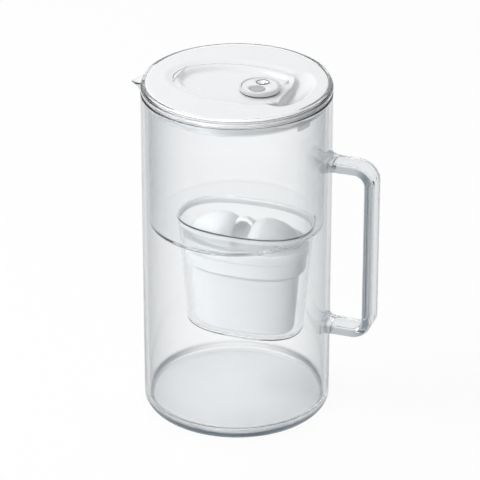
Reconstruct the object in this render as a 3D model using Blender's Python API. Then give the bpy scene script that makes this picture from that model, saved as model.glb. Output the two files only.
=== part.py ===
"""Water filter pitcher with a flip lid, built as the assembly that it is.

Metres, +Z up. The origin is on the pitcher's axis, at the bottom of the glass. The handle points
to +X and the pouring lip to -X.
"""

import math

import bmesh
import bpy
from mathutils import Matrix, Vector

MM = 0.001

# Fits and facets
SEAT_GAP = 0.3 * MM  # between pieces that rest on each other
FLAP_GAP = 0.4 * MM  # round the flap
WELD = 0.001 * MM
ROUND_STEPS = 64  # facets of the pieces that share the pitcher's axis
CASE_STEPS = 28  # facets of the indicator's pieces
PIN_STEPS = 12
OVAL_STEPS = 36
LEAF_STEPS = 48
BEND_STEPS = 6  # in each bend of the handle
PAD_STEPS = 3
LIP_STEPS = 6  # rows across the pouring lip
CREASE_STEPS = 16

# Glass jug
BODY_RADIUS = 73.0 * MM
GLASS_WALL = 3.0 * MM
GLASS_BASE = 7.0 * MM
GLASS_HEIGHT = 265.0 * MM
HEEL_RADIUS = 8.0 * MM
INNER_HEEL_RADIUS = 6.0 * MM
LIP_REACH = 13.0 * MM
LIP_DROP = 5.0 * MM
LIP_HEIGHT = 24.0 * MM
LIP_HALF_ANGLE = math.radians(13.0)

# Glass handle
HANDLE_REACH = 39.5 * MM  # beyond the jug's wall
HANDLE_TOP_DROP = 45.0 * MM  # below the glass rim
HANDLE_HEIGHT = 145.5 * MM
HANDLE_WIDTH = 20.0 * MM
HANDLE_THICKNESS = 7.6 * MM
HANDLE_BEND = 16.0 * MM
HANDLE_EDGE = 1.8 * MM
PAD_FLARE = 3.0 * MM
PAD_LENGTH = 8.0 * MM

# Gasket and upper reservoir
GASKET_THICKNESS = 1.2 * MM
GASKET_DEPTH = 7.0 * MM
GASKET_RIB = 0.5 * MM
FUNNEL_GAP = 2.8 * MM  # between the reservoir and the glass
FUNNEL_WALL = 2.0 * MM
FUNNEL_FLOOR = 2.5 * MM
FUNNEL_DEPTH = 109.8 * MM
FUNNEL_CORNER = 6.0 * MM
FLANGE_THICKNESS = 2.8 * MM
COLLAR_STEP = 1.3 * MM
COLLAR_WALL = 2.3 * MM
COLLAR_HEIGHT = 3.0 * MM
NOTCH_WIDTH = 22.0 * MM
NOTCH_RISE = 0.8 * MM

# Filter well
WELL_SHIFT = 7.0 * MM
WELL_EDGE = 6.7 * MM  # from the well's end to the reservoir's outside
WELL_HALF_WIDTH = 34.0 * MM
OVAL_POWER = 2.4  # 2 is an ellipse, and more is squarer
WELL_DEPTH = 92.0 * MM
WELL_WALL = 1.8 * MM
WELL_FLOOR = 2.0 * MM
WELL_CORNER = 7.0 * MM
WELL_DRAFT = math.tan(math.radians(4.5))
OUTLET_HALF_LENGTH = 17.0 * MM
OUTLET_HALF_WIDTH = 8.0 * MM

# Cartridge
CUP_HEIGHT = 66.7 * MM
CUP_CLEARANCE = 5.5 * MM  # from the well's inside to the cup's body
COLLAR_CLEARANCE = 1.2 * MM
CUP_COLLAR_HEIGHT = 12.0 * MM
CUP_WALL = 1.6 * MM
CUP_CORNER = 4.0 * MM
CAP_FLANGE_HEIGHT = 8.7 * MM
CAP_WALL = 1.6 * MM
MOUND_HEIGHT = 7.5 * MM
MOUND_INSET = 6.0 * MM
LOBE_SPACING = 34.0 * MM
LOBE_HEIGHT = 18.0 * MM
LOBE_HALF_LENGTH = 15.5 * MM
LOBE_HALF_WIDTH = 18.0 * MM
GRIP_CREST = 16.5 * MM
GRIP_RADIUS = 9.0 * MM
GRIP_WALL = 2.5 * MM
GRIP_WIDTH = 6.0 * MM
SLOT_WIDTH = 2.2 * MM
SLOT_HEIGHT = 5.0 * MM
SLOT_PITCH = 4.6 * MM
SLOTS_PER_LOBE = 3
HOLE_RADIUS = 2.0 * MM
HOLE_PITCH = 7.5 * MM
HOLES = 5
SCREEN_THICKNESS = 0.8 * MM
FILL_DROP = 5.0 * MM  # medium stays this far below the cup's rim

# Lid
LID_THICKNESS = 2.3 * MM
LID_EDGE = 0.6 * MM
SKIRT_GAP = 0.6 * MM
SKIRT_WALL = 1.8 * MM
SKIRT_HEIGHT = 11.9 * MM
LUG_HEIGHT = 6.0 * MM
LUG_WIDTH = 13.0 * MM
LUG_ANGLE = math.radians(20.0)
SHOULDER_WIDTH = 7.0 * MM
SHOULDER_DROP = 1.0 * MM
TRAY_WALL = 1.6 * MM
LEDGE_WIDTH = 2.4 * MM
CHUTE_DEPTH = 11.0 * MM
CHUTE_WALL = 1.6 * MM
CHUTE_END = 5.5 * MM  # from the crease back to the chute's inside

# Finger scoop
SCOOP_EDGE = 11.1 * MM
SCOOP_HALF_LENGTH = 16.0 * MM
SCOOP_HALF_WIDTH = 32.0 * MM
SCOOP_DEPTH = 12.0 * MM
SCOOP_RISE = 2.0 * MM  # its widest level lies this far above the lid
SCOOP_WALL = 1.6 * MM
CREASE_BACK = 4.5 * MM
FINGER_ROOM = 20.0 * MM

# Flap
LEAF_TIP_EDGE = 19.1 * MM
LEAF_WAIST = 0.6057  # its widest place, as a share of the way from its tip to the crease
LEAF_HALF_WIDTH = 34.0 * MM
LEAF_CORNER = 16.0  # the higher, the sharper its two corners
FLAP_DROP = 1.2 * MM
FLAP_THICKNESS = 1.5 * MM
FLAP_EDGE = 1.0 * MM
DISH_RIM = 2.5 * MM
DISH_SLOPE = 6.0 * MM
DISH_DEPTH = 3.6 * MM
DISH_RINGS = 2
HINGE_INSET = 3.7 * MM
HINGE_DROP = 0.2 * MM
PIN_RADIUS = 0.6 * MM
KNUCKLE_RADIUS = 1.35 * MM
KNUCKLE_HALF_LENGTH = 11.5 * MM
BOSS_START = 12.5 * MM
BOSS_LENGTH = 3.9 * MM
TIP_ROOM = 0.6 * MM

# Filter indicator on the flap
INDICATOR_BACK = 19.0 * MM
INDICATOR_RADIUS = 15.5 * MM
INDICATOR_HEIGHT = 4.4 * MM
CASE_WALL = 1.1 * MM
BEZEL_WALL = 1.6 * MM
CASE_FLOOR = 0.6 * MM
SNAP_BEAD = 0.6 * MM
SEAL_THICKNESS = 0.5 * MM
CELL_RADIUS = 10.0 * MM
CELL_HEIGHT = 3.2 * MM
CELL_ROOM = 0.9 * MM
BOARD_THICKNESS = 0.8 * MM
BOARD_DROP = 3.2 * MM
BOARD_LEDGE = 1.2 * MM
CONTACT_HEIGHT = 1.3 * MM
CONTACT_THICKNESS = 0.3 * MM
CONTACT_WIDTH = 4.0 * MM
COVER_THICKNESS = 2.0 * MM
BUTTON_RADIUS = 5.6 * MM
BUTTON_PLACE = 6.2 * MM
BUTTON_TRAVEL = 0.5 * MM
BUTTON_FLANGE = 0.7 * MM
STEM_RADIUS = 1.2 * MM
WINDOW_RADIUS = 4.5 * MM
WINDOW_PLACE = 6.4 * MM
WINDOW_THICKNESS = 0.9 * MM
LAMP_SIZE = 1.6 * MM
LAMP_HEIGHT = 0.8 * MM
LAMP_ROOM = 0.16 * MM
LAMP_SPACING = 4.0 * MM
SWITCH_SIZE = 4.0 * MM
SWITCH_HEIGHT = 0.7 * MM
BATTERY_COVER_THICKNESS = 3.5 * MM
BAYONET_DEPTH = 0.6 * MM
RING_RADIUS = 0.4 * MM

# Levels, from the glass upwards and downwards
FLANGE_Z = GLASS_HEIGHT + GASKET_THICKNESS + 2 * SEAT_GAP
FLANGE_TOP = FLANGE_Z + FLANGE_THICKNESS
COLLAR_TOP = FLANGE_TOP + COLLAR_HEIGHT
LID_UNDER = FLANGE_TOP + SEAT_GAP
LID_TOP = LID_UNDER + LID_THICKNESS
FUNNEL_Z = FLANGE_Z - FUNNEL_DEPTH
WELL_Z = FUNNEL_Z - WELL_DEPTH
CUP_Z = WELL_Z + WELL_FLOOR + SEAT_GAP
CUP_TOP = CUP_Z + CUP_HEIGHT
CAP_Z = CUP_TOP + SEAT_GAP
CAP_DECK = CAP_Z + CAP_FLANGE_HEIGHT
RIM_TOP = LID_TOP - FLAP_DROP
DISH_FLOOR = RIM_TOP - DISH_DEPTH
HINGE_Z = RIM_TOP - HINGE_DROP

# Radii about the pitcher's axis
GLASS_INSIDE = BODY_RADIUS - GLASS_WALL
FUNNEL_RADIUS = GLASS_INSIDE - FUNNEL_GAP
FUNNEL_INSIDE = FUNNEL_RADIUS - FUNNEL_WALL
COLLAR_RADIUS = BODY_RADIUS - COLLAR_STEP
COLLAR_INSIDE = COLLAR_RADIUS - COLLAR_WALL
LID_RADIUS = COLLAR_INSIDE - SEAT_GAP
SKIRT_RADIUS = FUNNEL_INSIDE - SKIRT_GAP
WELL_HALF_LENGTH = FUNNEL_RADIUS - WELL_SHIFT - WELL_EDGE

# Places along the lid
SCOOP_X = LID_RADIUS - SCOOP_EDGE - SCOOP_HALF_LENGTH
CREASE_X = SCOOP_X - CREASE_BACK
LEAF_LENGTH = CREASE_X + LID_RADIUS - LEAF_TIP_EDGE
LEAF_BACK = LEAF_LENGTH * LEAF_WAIST
LEAF_RUN = LEAF_LENGTH - LEAF_BACK  # from the leaf's widest place to the crease
LEAF_X = CREASE_X - LEAF_RUN
HINGE_X = LEAF_X - LEAF_BACK + HINGE_INSET
INDICATOR_X = CREASE_X - INDICATOR_BACK
CHUTE_END_X = CREASE_X - CHUTE_END

# Levels and radii of the indicator, from its case downwards
CASE_TOP = DISH_FLOOR + INDICATOR_HEIGHT
BEZEL_Z = DISH_FLOOR + SEAL_THICKNESS + 2 * SEAT_GAP
CASE_FLOOR_TOP = BEZEL_Z + CASE_FLOOR
COVER_Z = CASE_FLOOR_TOP + SEAT_GAP
COVER_TOP = COVER_Z + COVER_THICKNESS
BOARD_TOP = COVER_Z - BOARD_DROP
BOARD_Z = BOARD_TOP - BOARD_THICKNESS
CELL_TOP = BOARD_Z - CONTACT_HEIGHT - 2 * SEAT_GAP
CELL_Z = CELL_TOP - CELL_HEIGHT
BATTERY_COVER_TOP = CELL_Z - SEAT_GAP
CASE_Z = BATTERY_COVER_TOP - BATTERY_COVER_THICKNESS
CASE_INSIDE = CELL_RADIUS + CELL_ROOM
CASE_RADIUS = CASE_INSIDE + CASE_WALL
COVER_RADIUS = INDICATOR_RADIUS - BEZEL_WALL - SEAT_GAP
PART_Z = BOARD_TOP + SEAT_GAP  # what stands on the circuit board


def clear_scene():
    for thing in list(bpy.data.objects):
        bpy.data.objects.remove(thing, do_unlink=True)


def finish_of(name, colour, roughness=0.35, metallic=0.0, transmission=0.0, ior=1.46):
    finish = bpy.data.materials.new(name)
    finish.use_nodes = True
    shader = finish.node_tree.nodes["Principled BSDF"]
    shader.inputs["Base Color"].default_value = (*colour, 1.0)
    shader.inputs["Roughness"].default_value = roughness
    shader.inputs["Metallic"].default_value = metallic
    shader.inputs["Transmission Weight"].default_value = transmission
    shader.inputs["IOR"].default_value = ior
    return finish


def solid(name, bm, finish=None):
    """The bmesh as a closed object, with its faces out and its round faces smooth."""
    bmesh.ops.remove_doubles(bm, verts=bm.verts, dist=WELD)
    bmesh.ops.recalc_face_normals(bm, faces=bm.faces)
    mesh = bpy.data.meshes.new(name)
    bm.to_mesh(mesh)
    bm.free()
    mesh.shade_smooth()
    mesh.set_sharp_from_angle(angle=math.radians(32.0))
    if finish is not None:
        mesh.materials.append(finish)
    made = bpy.data.objects.new(name, mesh)
    bpy.context.collection.objects.link(made)
    return made


def add_patch(bm, a, b, c, d):
    """One quad where it is flat, or else two triangles, split alike on both sides of the pitcher."""
    across = (c.co - a.co).cross(d.co - b.co)
    if across.length > 0.0 and abs((b.co - a.co).dot(across.normalized())) > WELD / 10:
        corners = ((a, b, c), (a, c, d)) if a.co.y + b.co.y > 0.0 else ((a, b, d), (b, c, d))
        for corner in corners:
            bm.faces.new(corner)
    else:
        bm.faces.new((a, b, c, d))


def lofted(name, rings, finish=None):
    """Rings of points joined in order, with a cap on the first and on the last."""
    bm = bmesh.new()
    loops = [[bm.verts.new(point) for point in ring] for ring in rings]
    for near, far in zip(loops, loops[1:]):
        for i in range(len(near)):
            add_patch(bm, near[i - 1], near[i], far[i], far[i - 1])
    bm.faces.new(loops[0])
    bm.faces.new(loops[-1])
    return solid(name, bm, finish)


def turned(name, profile, finish=None, steps=ROUND_STEPS, centre=(0.0, 0.0)):
    """A profile of radii and heights, spun round a vertical axis."""
    bm = bmesh.new()
    line = [bm.verts.new((centre[0] + radius, centre[1], z)) for radius, z in profile]
    edges = [bm.edges.new(pair) for pair in zip(line, line[1:])]
    if profile[0][0] > 0.0:
        edges.append(bm.edges.new((line[-1], line[0])))
    bmesh.ops.spin(
        bm,
        geom=line + edges,
        cent=(*centre, 0.0),
        axis=(0.0, 0.0, 1.0),
        angle=math.tau,
        steps=steps,
        use_merge=True,
    )
    return solid(name, bm, finish)


def block(name, low, high, finish=None):
    bm = bmesh.new()
    size = Vector(high) - Vector(low)
    place = Matrix.Translation((Vector(high) + Vector(low)) / 2) @ Matrix.Diagonal((*size, 1.0))
    bmesh.ops.create_cube(bm, size=1.0, matrix=place)
    return solid(name, bm, finish)


def rod(name, radius, start, end, finish=None, steps=PIN_STEPS):
    """A round bar between two points."""
    bm = bmesh.new()
    run = Vector(end) - Vector(start)
    middle = (Vector(start) + Vector(end)) / 2
    place = Matrix.LocRotScale(middle, run.to_track_quat("Z", "Y"), None)
    bmesh.ops.create_cone(
        bm, cap_ends=True, segments=steps, radius1=radius, radius2=radius, depth=run.length, matrix=place
    )
    return solid(name, bm, finish)


def ellipsoid(name, centre, radii, steps, levels=3):
    """Half an ellipsoid above its centre, or below it when the last radius is negative."""
    made = turned(name, [(0.0, 0.0)] + arc(0.0, 0.0, 1.0, 0, 90, levels)[:-1] + [(0.0, 1.0)], steps=steps)
    made.data.transform(Matrix.Translation(centre) @ Matrix.Diagonal((*radii, 1.0)))
    if radii[2] < 0.0:
        made.data.flip_normals()
    return made


def plate(name, outline, half_width, finish=None, y=0.0):
    """An outline of X and Z, extruded across Y."""
    rings = [[(x, y + side * half_width, z) for x, z in outline] for side in (-1, 1)]
    return lofted(name, rings, finish)


def combine(target, tool, operation):
    modifier = target.modifiers.new(tool.name, "BOOLEAN")
    modifier.operation = operation
    modifier.solver = "EXACT"
    modifier.object = tool
    tool.hide_render = True
    tool.display_type = "WIRE"


def join(target, tool):
    combine(target, tool, "UNION")


def cut(target, tool):
    combine(target, tool, "DIFFERENCE")


def keep_inside(target, tool):
    combine(target, tool, "INTERSECT")


def put_origin(thing, point):
    """Moves the object's origin, and leaves its shape where it is."""
    thing.data.transform(Matrix.Translation(-Vector(point)))
    thing.location = point


def arc(centre_r, centre_z, radius, start, stop, steps):
    """Points of a quarter or half round in a profile, angles in degrees from +radius upwards."""
    points = []
    for step in range(steps + 1):
        angle = math.radians(start + (stop - start) * step / steps)
        points.append((centre_r + radius * math.cos(angle), centre_z + radius * math.sin(angle)))
    return points


def oval(half_length, half_width, z, steps=OVAL_STEPS):
    """A ring of the filter well's plan, a little squarer than an ellipse."""
    squareness = 2.0 / OVAL_POWER
    points = []
    for step in range(steps):
        angle = math.tau * step / steps
        across, along = math.sin(angle), math.cos(angle)
        x = math.copysign(abs(along) ** squareness, along) * half_length
        y = math.copysign(abs(across) ** squareness, across) * half_width
        points.append((WELL_SHIFT + x, y, z))
    return points


def well_oval(inset, z):
    """A ring that far inside the well's outer face, which narrows downwards."""
    narrowing = (FUNNEL_Z - z) * WELL_DRAFT + inset
    return oval(WELL_HALF_LENGTH - narrowing, WELL_HALF_WIDTH - narrowing, z)


def leaf(offset, height, end_x=None, tip_room=0.0):
    """A ring of the flap's plan, grown by offset: an ellipse cut off by the scoop's curved crease.

    The height is a number, or a function of the distance inside the flap's ellipse.
    """
    points = []
    for step in range(LEAF_STEPS):
        angle = math.tau * step / LEAF_STEPS
        along, across = math.cos(angle), math.sin(angle)
        full_reach = 1.0 / math.hypot(along / LEAF_BACK, across / LEAF_HALF_WIDTH)
        back = LEAF_BACK + offset + (tip_room if along < 0.0 else 0.0)
        reach = 1.0 / math.hypot(along / back, across / (LEAF_HALF_WIDTH + offset))
        bend = CREASE_BACK * (across / SCOOP_HALF_WIDTH) ** 2
        inside_root = along * along - 4.0 * bend * (LEAF_RUN + offset)
        if along > 0.0 and inside_root > 0.0:
            crease = 2.0 * (LEAF_RUN + offset) / (along + math.sqrt(inside_root))
            reach = (reach**-LEAF_CORNER + crease**-LEAF_CORNER) ** (-1.0 / LEAF_CORNER)
        x = LEAF_X + reach * along
        if end_x is not None:
            x = min(x, end_x)
        z = height(full_reach - reach) if callable(height) else height
        points.append((x, reach * across, z))
    if end_x is None:
        return points
    after = points[1:] + points[:1]
    before = points[-1:] + points[:-1]
    return [point for point, *sides in zip(points, before, after) if min(point, *sides)[0] < end_x]


def dish(drop):
    """The flap's top face, lowered: level at the rim, then down to the floor of the dish."""

    def height(inset):
        share = min(max((inset - DISH_RIM) / DISH_SLOPE, 0.0), 1.0)
        return RIM_TOP - DISH_DEPTH * share * share * (3.0 - 2.0 * share) - drop

    return height


def dish_insets():
    return [DISH_RIM + DISH_SLOPE * ring / DISH_RINGS for ring in range(DISH_RINGS + 1)]


def dish_block(name, offset, drop, top_rings):
    """A block whose underside follows the flap's, below the rings given for its top."""
    rings = list(top_rings)
    rings.append(leaf(offset, dish(drop), tip_room=TIP_ROOM))
    rings += [leaf(-inset, dish(drop)) for inset in dish_insets()]
    return lofted(name, rings)


def lip_share(point):
    """How far a point of the glass takes part in the pouring lip, round and upwards."""
    angle = math.atan2(point.y, -point.x)
    start = GLASS_HEIGHT - LIP_HEIGHT
    if abs(angle) >= LIP_HALF_ANGLE or point.z <= start:
        return 0.0, 0.0
    around = math.cos(math.pi / 2 * angle / LIP_HALF_ANGLE) ** 2
    return around, min((point.z - start) / LIP_HEIGHT, 1.0)


def make_glass_jug(finish):
    """The turned glass, with its rim drawn out into a pouring lip."""
    rim = GLASS_WALL / 2
    lip_start = GLASS_HEIGHT - LIP_HEIGHT
    profile = [(0.0, GLASS_BASE)]
    profile += arc(
        GLASS_INSIDE - INNER_HEEL_RADIUS, GLASS_BASE + INNER_HEEL_RADIUS, INNER_HEEL_RADIUS, -90, 0, 3
    )
    profile += [(GLASS_INSIDE, lip_start)]
    profile += arc(BODY_RADIUS - rim, GLASS_HEIGHT - rim, rim, 180, 0, 4)
    profile += [(BODY_RADIUS, lip_start)]
    profile += arc(BODY_RADIUS - HEEL_RADIUS, HEEL_RADIUS, HEEL_RADIUS, 0, -90, 4)
    profile += [(0.0, 0.0)]
    jug = turned("glass_jug", profile, finish)

    bm = bmesh.new()
    bm.from_mesh(jug.data)
    facet = math.tau / ROUND_STEPS

    def near_lip(edge):
        return all(
            abs(math.atan2(end.co.y, -end.co.x)) < LIP_HALF_ANGLE + facet / 2 and end.co.z > lip_start - WELD
            for end in edge.verts
        )

    long_edges = [edge for edge in bm.edges if near_lip(edge) and edge.calc_length() > LIP_HEIGHT / 2]
    bmesh.ops.subdivide_edges(bm, edges=long_edges, cuts=LIP_STEPS - 1)
    level_edges = [
        edge for edge in bm.edges if near_lip(edge) and abs(edge.verts[0].co.z - edge.verts[1].co.z) < WELD
        and edge.calc_length() > rim
    ]
    bmesh.ops.subdivide_edges(bm, edges=level_edges, cuts=1, use_grid_fill=True)
    for vert in bm.verts:
        around, up = lip_share(vert.co)
        vert.co.x -= LIP_REACH * around * up**2
        vert.co.z -= LIP_DROP * around * up**3
    bm.to_mesh(jug.data)
    bm.free()
    return jug


def make_glass_handle(finish):
    """A flat glass strap, bent twice, that flares into a pad where it meets the jug."""
    half_thick, half_wide = HANDLE_THICKNESS / 2, HANDLE_WIDTH / 2
    bend = HANDLE_BEND - half_thick
    outer_x = BODY_RADIUS + HANDLE_REACH - half_thick
    top_z = GLASS_HEIGHT - HANDLE_TOP_DROP - half_thick
    low_z = top_z - HANDLE_HEIGHT + HANDLE_THICKNESS
    root_x = BODY_RADIUS - GLASS_WALL
    stations = []
    bar_stops = [root_x] + [BODY_RADIUS + PAD_LENGTH * step / PAD_STEPS for step in range(PAD_STEPS + 1)]
    for x in bar_stops:
        near = max(0.0, 1.0 - max(x - BODY_RADIUS, 0.0) / PAD_LENGTH)
        stations.append((x, top_z, 90.0, PAD_FLARE * near**2))
    for step in range(BEND_STEPS + 1):
        angle = 90.0 * (1.0 - step / BEND_STEPS)
        turn = math.radians(angle)
        x = outer_x - bend + bend * math.cos(turn)
        stations.append((x, top_z - bend + bend * math.sin(turn), angle, 0.0))
    stations += [(x, top_z + low_z - z, -angle, flare) for x, z, angle, flare in reversed(stations)]
    rings = []
    for x, z, angle, flare in stations:
        outward = Vector((math.cos(math.radians(angle)), 0.0, math.sin(math.radians(angle))))
        ring = []
        for corner in range(4):
            start = 90.0 * corner
            middle = math.radians(start + 45.0)
            up = math.copysign(half_thick + flare - HANDLE_EDGE, math.cos(middle))
            side = math.copysign(half_wide + flare - HANDLE_EDGE, math.sin(middle))
            for u, v in arc(up, side, HANDLE_EDGE, start, start + 90.0, 2):
                ring.append(Vector((x, v, z)) + outward * u)
        rings.append(ring)
    handle = lofted("glass_handle", rings, finish)
    cut(handle, turned("jug_wall_cutter", [
        (0.0, 0.0), (BODY_RADIUS + SEAT_GAP, 0.0), (BODY_RADIUS + SEAT_GAP, GLASS_HEIGHT), (0.0, GLASS_HEIGHT)
    ]))
    return handle


def spout_notch(name, inner_radius, low, high):
    """A box across the rim at the pouring lip."""
    return block(
        name, (-BODY_RADIUS - LIP_REACH, -NOTCH_WIDTH / 2, low), (-inner_radius, NOTCH_WIDTH / 2, high)
    )


def make_rim_gasket(finish):
    """A soft ring on the glass rim, with a ribbed skirt that grips the bore."""
    inner = FUNNEL_RADIUS + SEAT_GAP
    skirt = GLASS_INSIDE - SEAT_GAP - GASKET_RIB
    low = GLASS_HEIGHT + SEAT_GAP
    high = low + GASKET_THICKNESS
    profile = [(inner, high), (BODY_RADIUS - GASKET_RIB, high), (BODY_RADIUS - GASKET_RIB, low), (skirt, low)]
    rib = GLASS_HEIGHT - GASKET_DEPTH / 2
    profile += [(skirt, rib + GASKET_RIB), (skirt + GASKET_RIB, rib), (skirt, rib - GASKET_RIB)]
    profile += [(skirt - GASKET_RIB, GLASS_HEIGHT - GASKET_DEPTH), (inner, GLASS_HEIGHT - GASKET_DEPTH)]
    gasket = turned("rim_gasket", profile, finish)
    notch = spout_notch(
        "gasket_notch_cutter", FUNNEL_INSIDE - GLASS_WALL, GLASS_HEIGHT - 2 * GASKET_DEPTH, LID_TOP
    )
    cut(gasket, notch)
    return gasket


def make_funnel(finish):
    """The clear reservoir: collar, rim flange, wall, floor and the oval well for the cartridge."""
    round_over = COLLAR_WALL / 4
    corner = FUNNEL_CORNER
    inner_corner = corner - FUNNEL_WALL
    profile = [(0.0, FUNNEL_Z)]
    profile += arc(FUNNEL_RADIUS - corner, FUNNEL_Z + corner, corner, -90, 0, 3)
    profile += [(FUNNEL_RADIUS, FLANGE_Z), (BODY_RADIUS, FLANGE_Z), (BODY_RADIUS, FLANGE_TOP)]
    profile += [(COLLAR_RADIUS, FLANGE_TOP), (COLLAR_RADIUS, COLLAR_TOP - round_over)]
    profile += [(COLLAR_RADIUS - round_over, COLLAR_TOP), (COLLAR_INSIDE, COLLAR_TOP)]
    profile += [(COLLAR_INSIDE, FLANGE_TOP), (FUNNEL_INSIDE, FLANGE_TOP)]
    profile += arc(
        FUNNEL_INSIDE - inner_corner, FUNNEL_Z + FUNNEL_FLOOR + inner_corner, inner_corner, 0, -90, 2
    )
    profile += [(0.0, FUNNEL_Z + FUNNEL_FLOOR)]
    funnel = turned("funnel", profile, finish)

    def well(name, inset, bottom, corner_radius, top):
        rings = []
        for back, z in arc(0.0, bottom + corner_radius, corner_radius, -90, 0, 3):
            rings.append(well_oval(inset + corner_radius - back, z))
        rings.append(well_oval(inset, top))
        return lofted(name, rings)

    outer_corner = WELL_CORNER
    join(funnel, well("well_shell", 0.0, WELL_Z, outer_corner, FUNNEL_Z + FUNNEL_FLOOR / 2))
    cut(funnel, well(
        "well_cutter", WELL_WALL, WELL_Z + WELL_FLOOR, outer_corner - WELL_WALL, FUNNEL_Z + 2 * FUNNEL_FLOOR
    ))
    outlet_levels = (WELL_Z - WELL_FLOOR, WELL_Z + 2 * WELL_FLOOR)
    outlet = lofted("well_outlet_cutter", [
        oval(OUTLET_HALF_LENGTH, OUTLET_HALF_WIDTH, z, 24) for z in outlet_levels
    ])
    cut(funnel, outlet)
    cut(funnel, spout_notch(
        "funnel_notch_cutter", FUNNEL_RADIUS + SEAT_GAP, FLANGE_Z - NOTCH_RISE, FLANGE_TOP + NOTCH_RISE
    ))
    return funnel


def make_cartridge_cup(finish):
    """The tapered oval cup of the cartridge, wider at its collar, with drain holes below."""
    body, collar = WELL_WALL + CUP_CLEARANCE, WELL_WALL + COLLAR_CLEARANCE
    shoulder = CUP_TOP - CUP_COLLAR_HEIGHT
    slope = body - collar
    rings = []
    for back, z in arc(0.0, CUP_Z + CUP_CORNER, CUP_CORNER, -90, 0, 2):
        rings.append(well_oval(body + CUP_CORNER - back, z))
    rings += [well_oval(body, shoulder - slope), well_oval(collar, shoulder), well_oval(collar, CUP_TOP)]
    rings += [well_oval(collar + CUP_WALL, CUP_TOP), well_oval(collar + CUP_WALL, shoulder)]
    rings += [well_oval(body + CUP_WALL, shoulder - slope), well_oval(body + CUP_WALL, CUP_Z + CUP_CORNER)]
    rings.append(well_oval(body + CUP_CORNER, CUP_Z + CUP_WALL))
    cup = lofted("cartridge_cup", rings, finish)
    for hole in range(HOLES):
        x = WELL_SHIFT + (hole - (HOLES - 1) / 2) * HOLE_PITCH
        low, high = (x, 0.0, CUP_Z - CUP_WALL), (x, 0.0, CUP_Z + 2 * CUP_WALL)
        cut(cup, rod(f"drain_cutter_{hole + 1}", HOLE_RADIUS, low, high, steps=12))
    return cup


def make_cartridge_fill(granule_finish, screen_finish):
    """The filter medium between its two screens."""
    inset = WELL_WALL + CUP_CLEARANCE + CUP_WALL + SEAT_GAP
    screen_z = CUP_Z + CUP_WALL + SEAT_GAP
    fill_z = screen_z + SCREEN_THICKNESS + SEAT_GAP
    fill_top = CUP_TOP - FILL_DROP
    foot = CUP_CORNER
    shoulder = CUP_TOP - CUP_COLLAR_HEIGHT - (CUP_CLEARANCE - COLLAR_CLEARANCE)

    def slab(name, low, high, inset_low, inset_high, finish):
        return lofted(name, [well_oval(inset_low, low), well_oval(inset_high, high)], finish)

    slab("outlet_screen", screen_z, screen_z + SCREEN_THICKNESS, inset + foot, inset + foot, screen_finish)
    lofted("filter_granules", [
        well_oval(inset + foot - SCREEN_THICKNESS, fill_z), well_oval(inset, CUP_Z + foot + CUP_WALL),
        well_oval(inset, shoulder), well_oval(inset, fill_top),
    ], granule_finish)
    inlet_z = fill_top + SEAT_GAP
    slab("inlet_screen", inlet_z, inlet_z + SCREEN_THICKNESS, inset, inset, screen_finish)


def make_cartridge_cap(finish):
    """The domed cap: a flange that seals in the well, two lobes with inlet slots and an arched grip."""
    grip_z = CAP_DECK + GRIP_CREST - GRIP_RADIUS

    def dome(name, wall, bottom):
        """The cap's outside, or the space inside it, one wall thickness smaller."""
        inset = WELL_WALL + FLAP_GAP + wall
        body = lofted(name, [well_oval(inset, bottom), well_oval(inset, CAP_DECK - wall)])
        mound_length = WELL_HALF_LENGTH - WELL_WALL - MOUND_INSET - wall
        mound_width = WELL_HALF_WIDTH - WELL_WALL - MOUND_INSET - wall
        mound_z = CAP_DECK - CAP_WALL / 2 - wall
        join(body, ellipsoid(
            f"{name}_mound", (WELL_SHIFT, 0.0, mound_z), (mound_length, mound_width, MOUND_HEIGHT), 24, 3
        ))
        for side in (-1, 1):
            lobe_x = WELL_SHIFT + side * LOBE_SPACING / 2
            lobe = ellipsoid(
                f"{name}_lobe_{'front' if side < 0 else 'back'}",
                (lobe_x, 0.0, mound_z),
                (LOBE_HALF_LENGTH - wall, LOBE_HALF_WIDTH - wall, LOBE_HEIGHT),
                16,
                4,
            )
            join(body, lobe)
        return body

    def across(name, radius, half_width):
        """A round bar across the cap, at the height of its grip."""
        return rod(
            name, radius, (WELL_SHIFT, -half_width, grip_z), (WELL_SHIFT, half_width, grip_z), steps=24
        )

    cap = dome("cartridge_cap", 0.0, CAP_Z)
    cap.data.materials.append(finish)
    finger = GRIP_RADIUS - GRIP_WALL
    join(cap, across("grip_arch", GRIP_RADIUS, GRIP_WIDTH / 2))
    cut(cap, across("finger_cutter", finger, WELL_HALF_WIDTH))
    hollow = dome("cap_hollow", CAP_WALL, CAP_Z - CAP_WALL)
    cut(hollow, across("finger_wall", GRIP_RADIUS, WELL_HALF_WIDTH))
    cut(cap, hollow)
    slot_z = CAP_DECK + MOUND_HEIGHT
    for side in (-1, 1):
        lobe_x = WELL_SHIFT + side * LOBE_SPACING / 2
        for slot in range(SLOTS_PER_LOBE):
            x = lobe_x + (slot - (SLOTS_PER_LOBE - 1) / 2) * SLOT_PITCH
            cut(cap, block(
                f"inlet_slot_{'front' if side < 0 else 'back'}_{slot + 1}",
                (x - SLOT_WIDTH / 2, -WELL_HALF_WIDTH, slot_z),
                (x + SLOT_WIDTH / 2, WELL_HALF_WIDTH, slot_z + SLOT_HEIGHT),
            ))
    return cap


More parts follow.
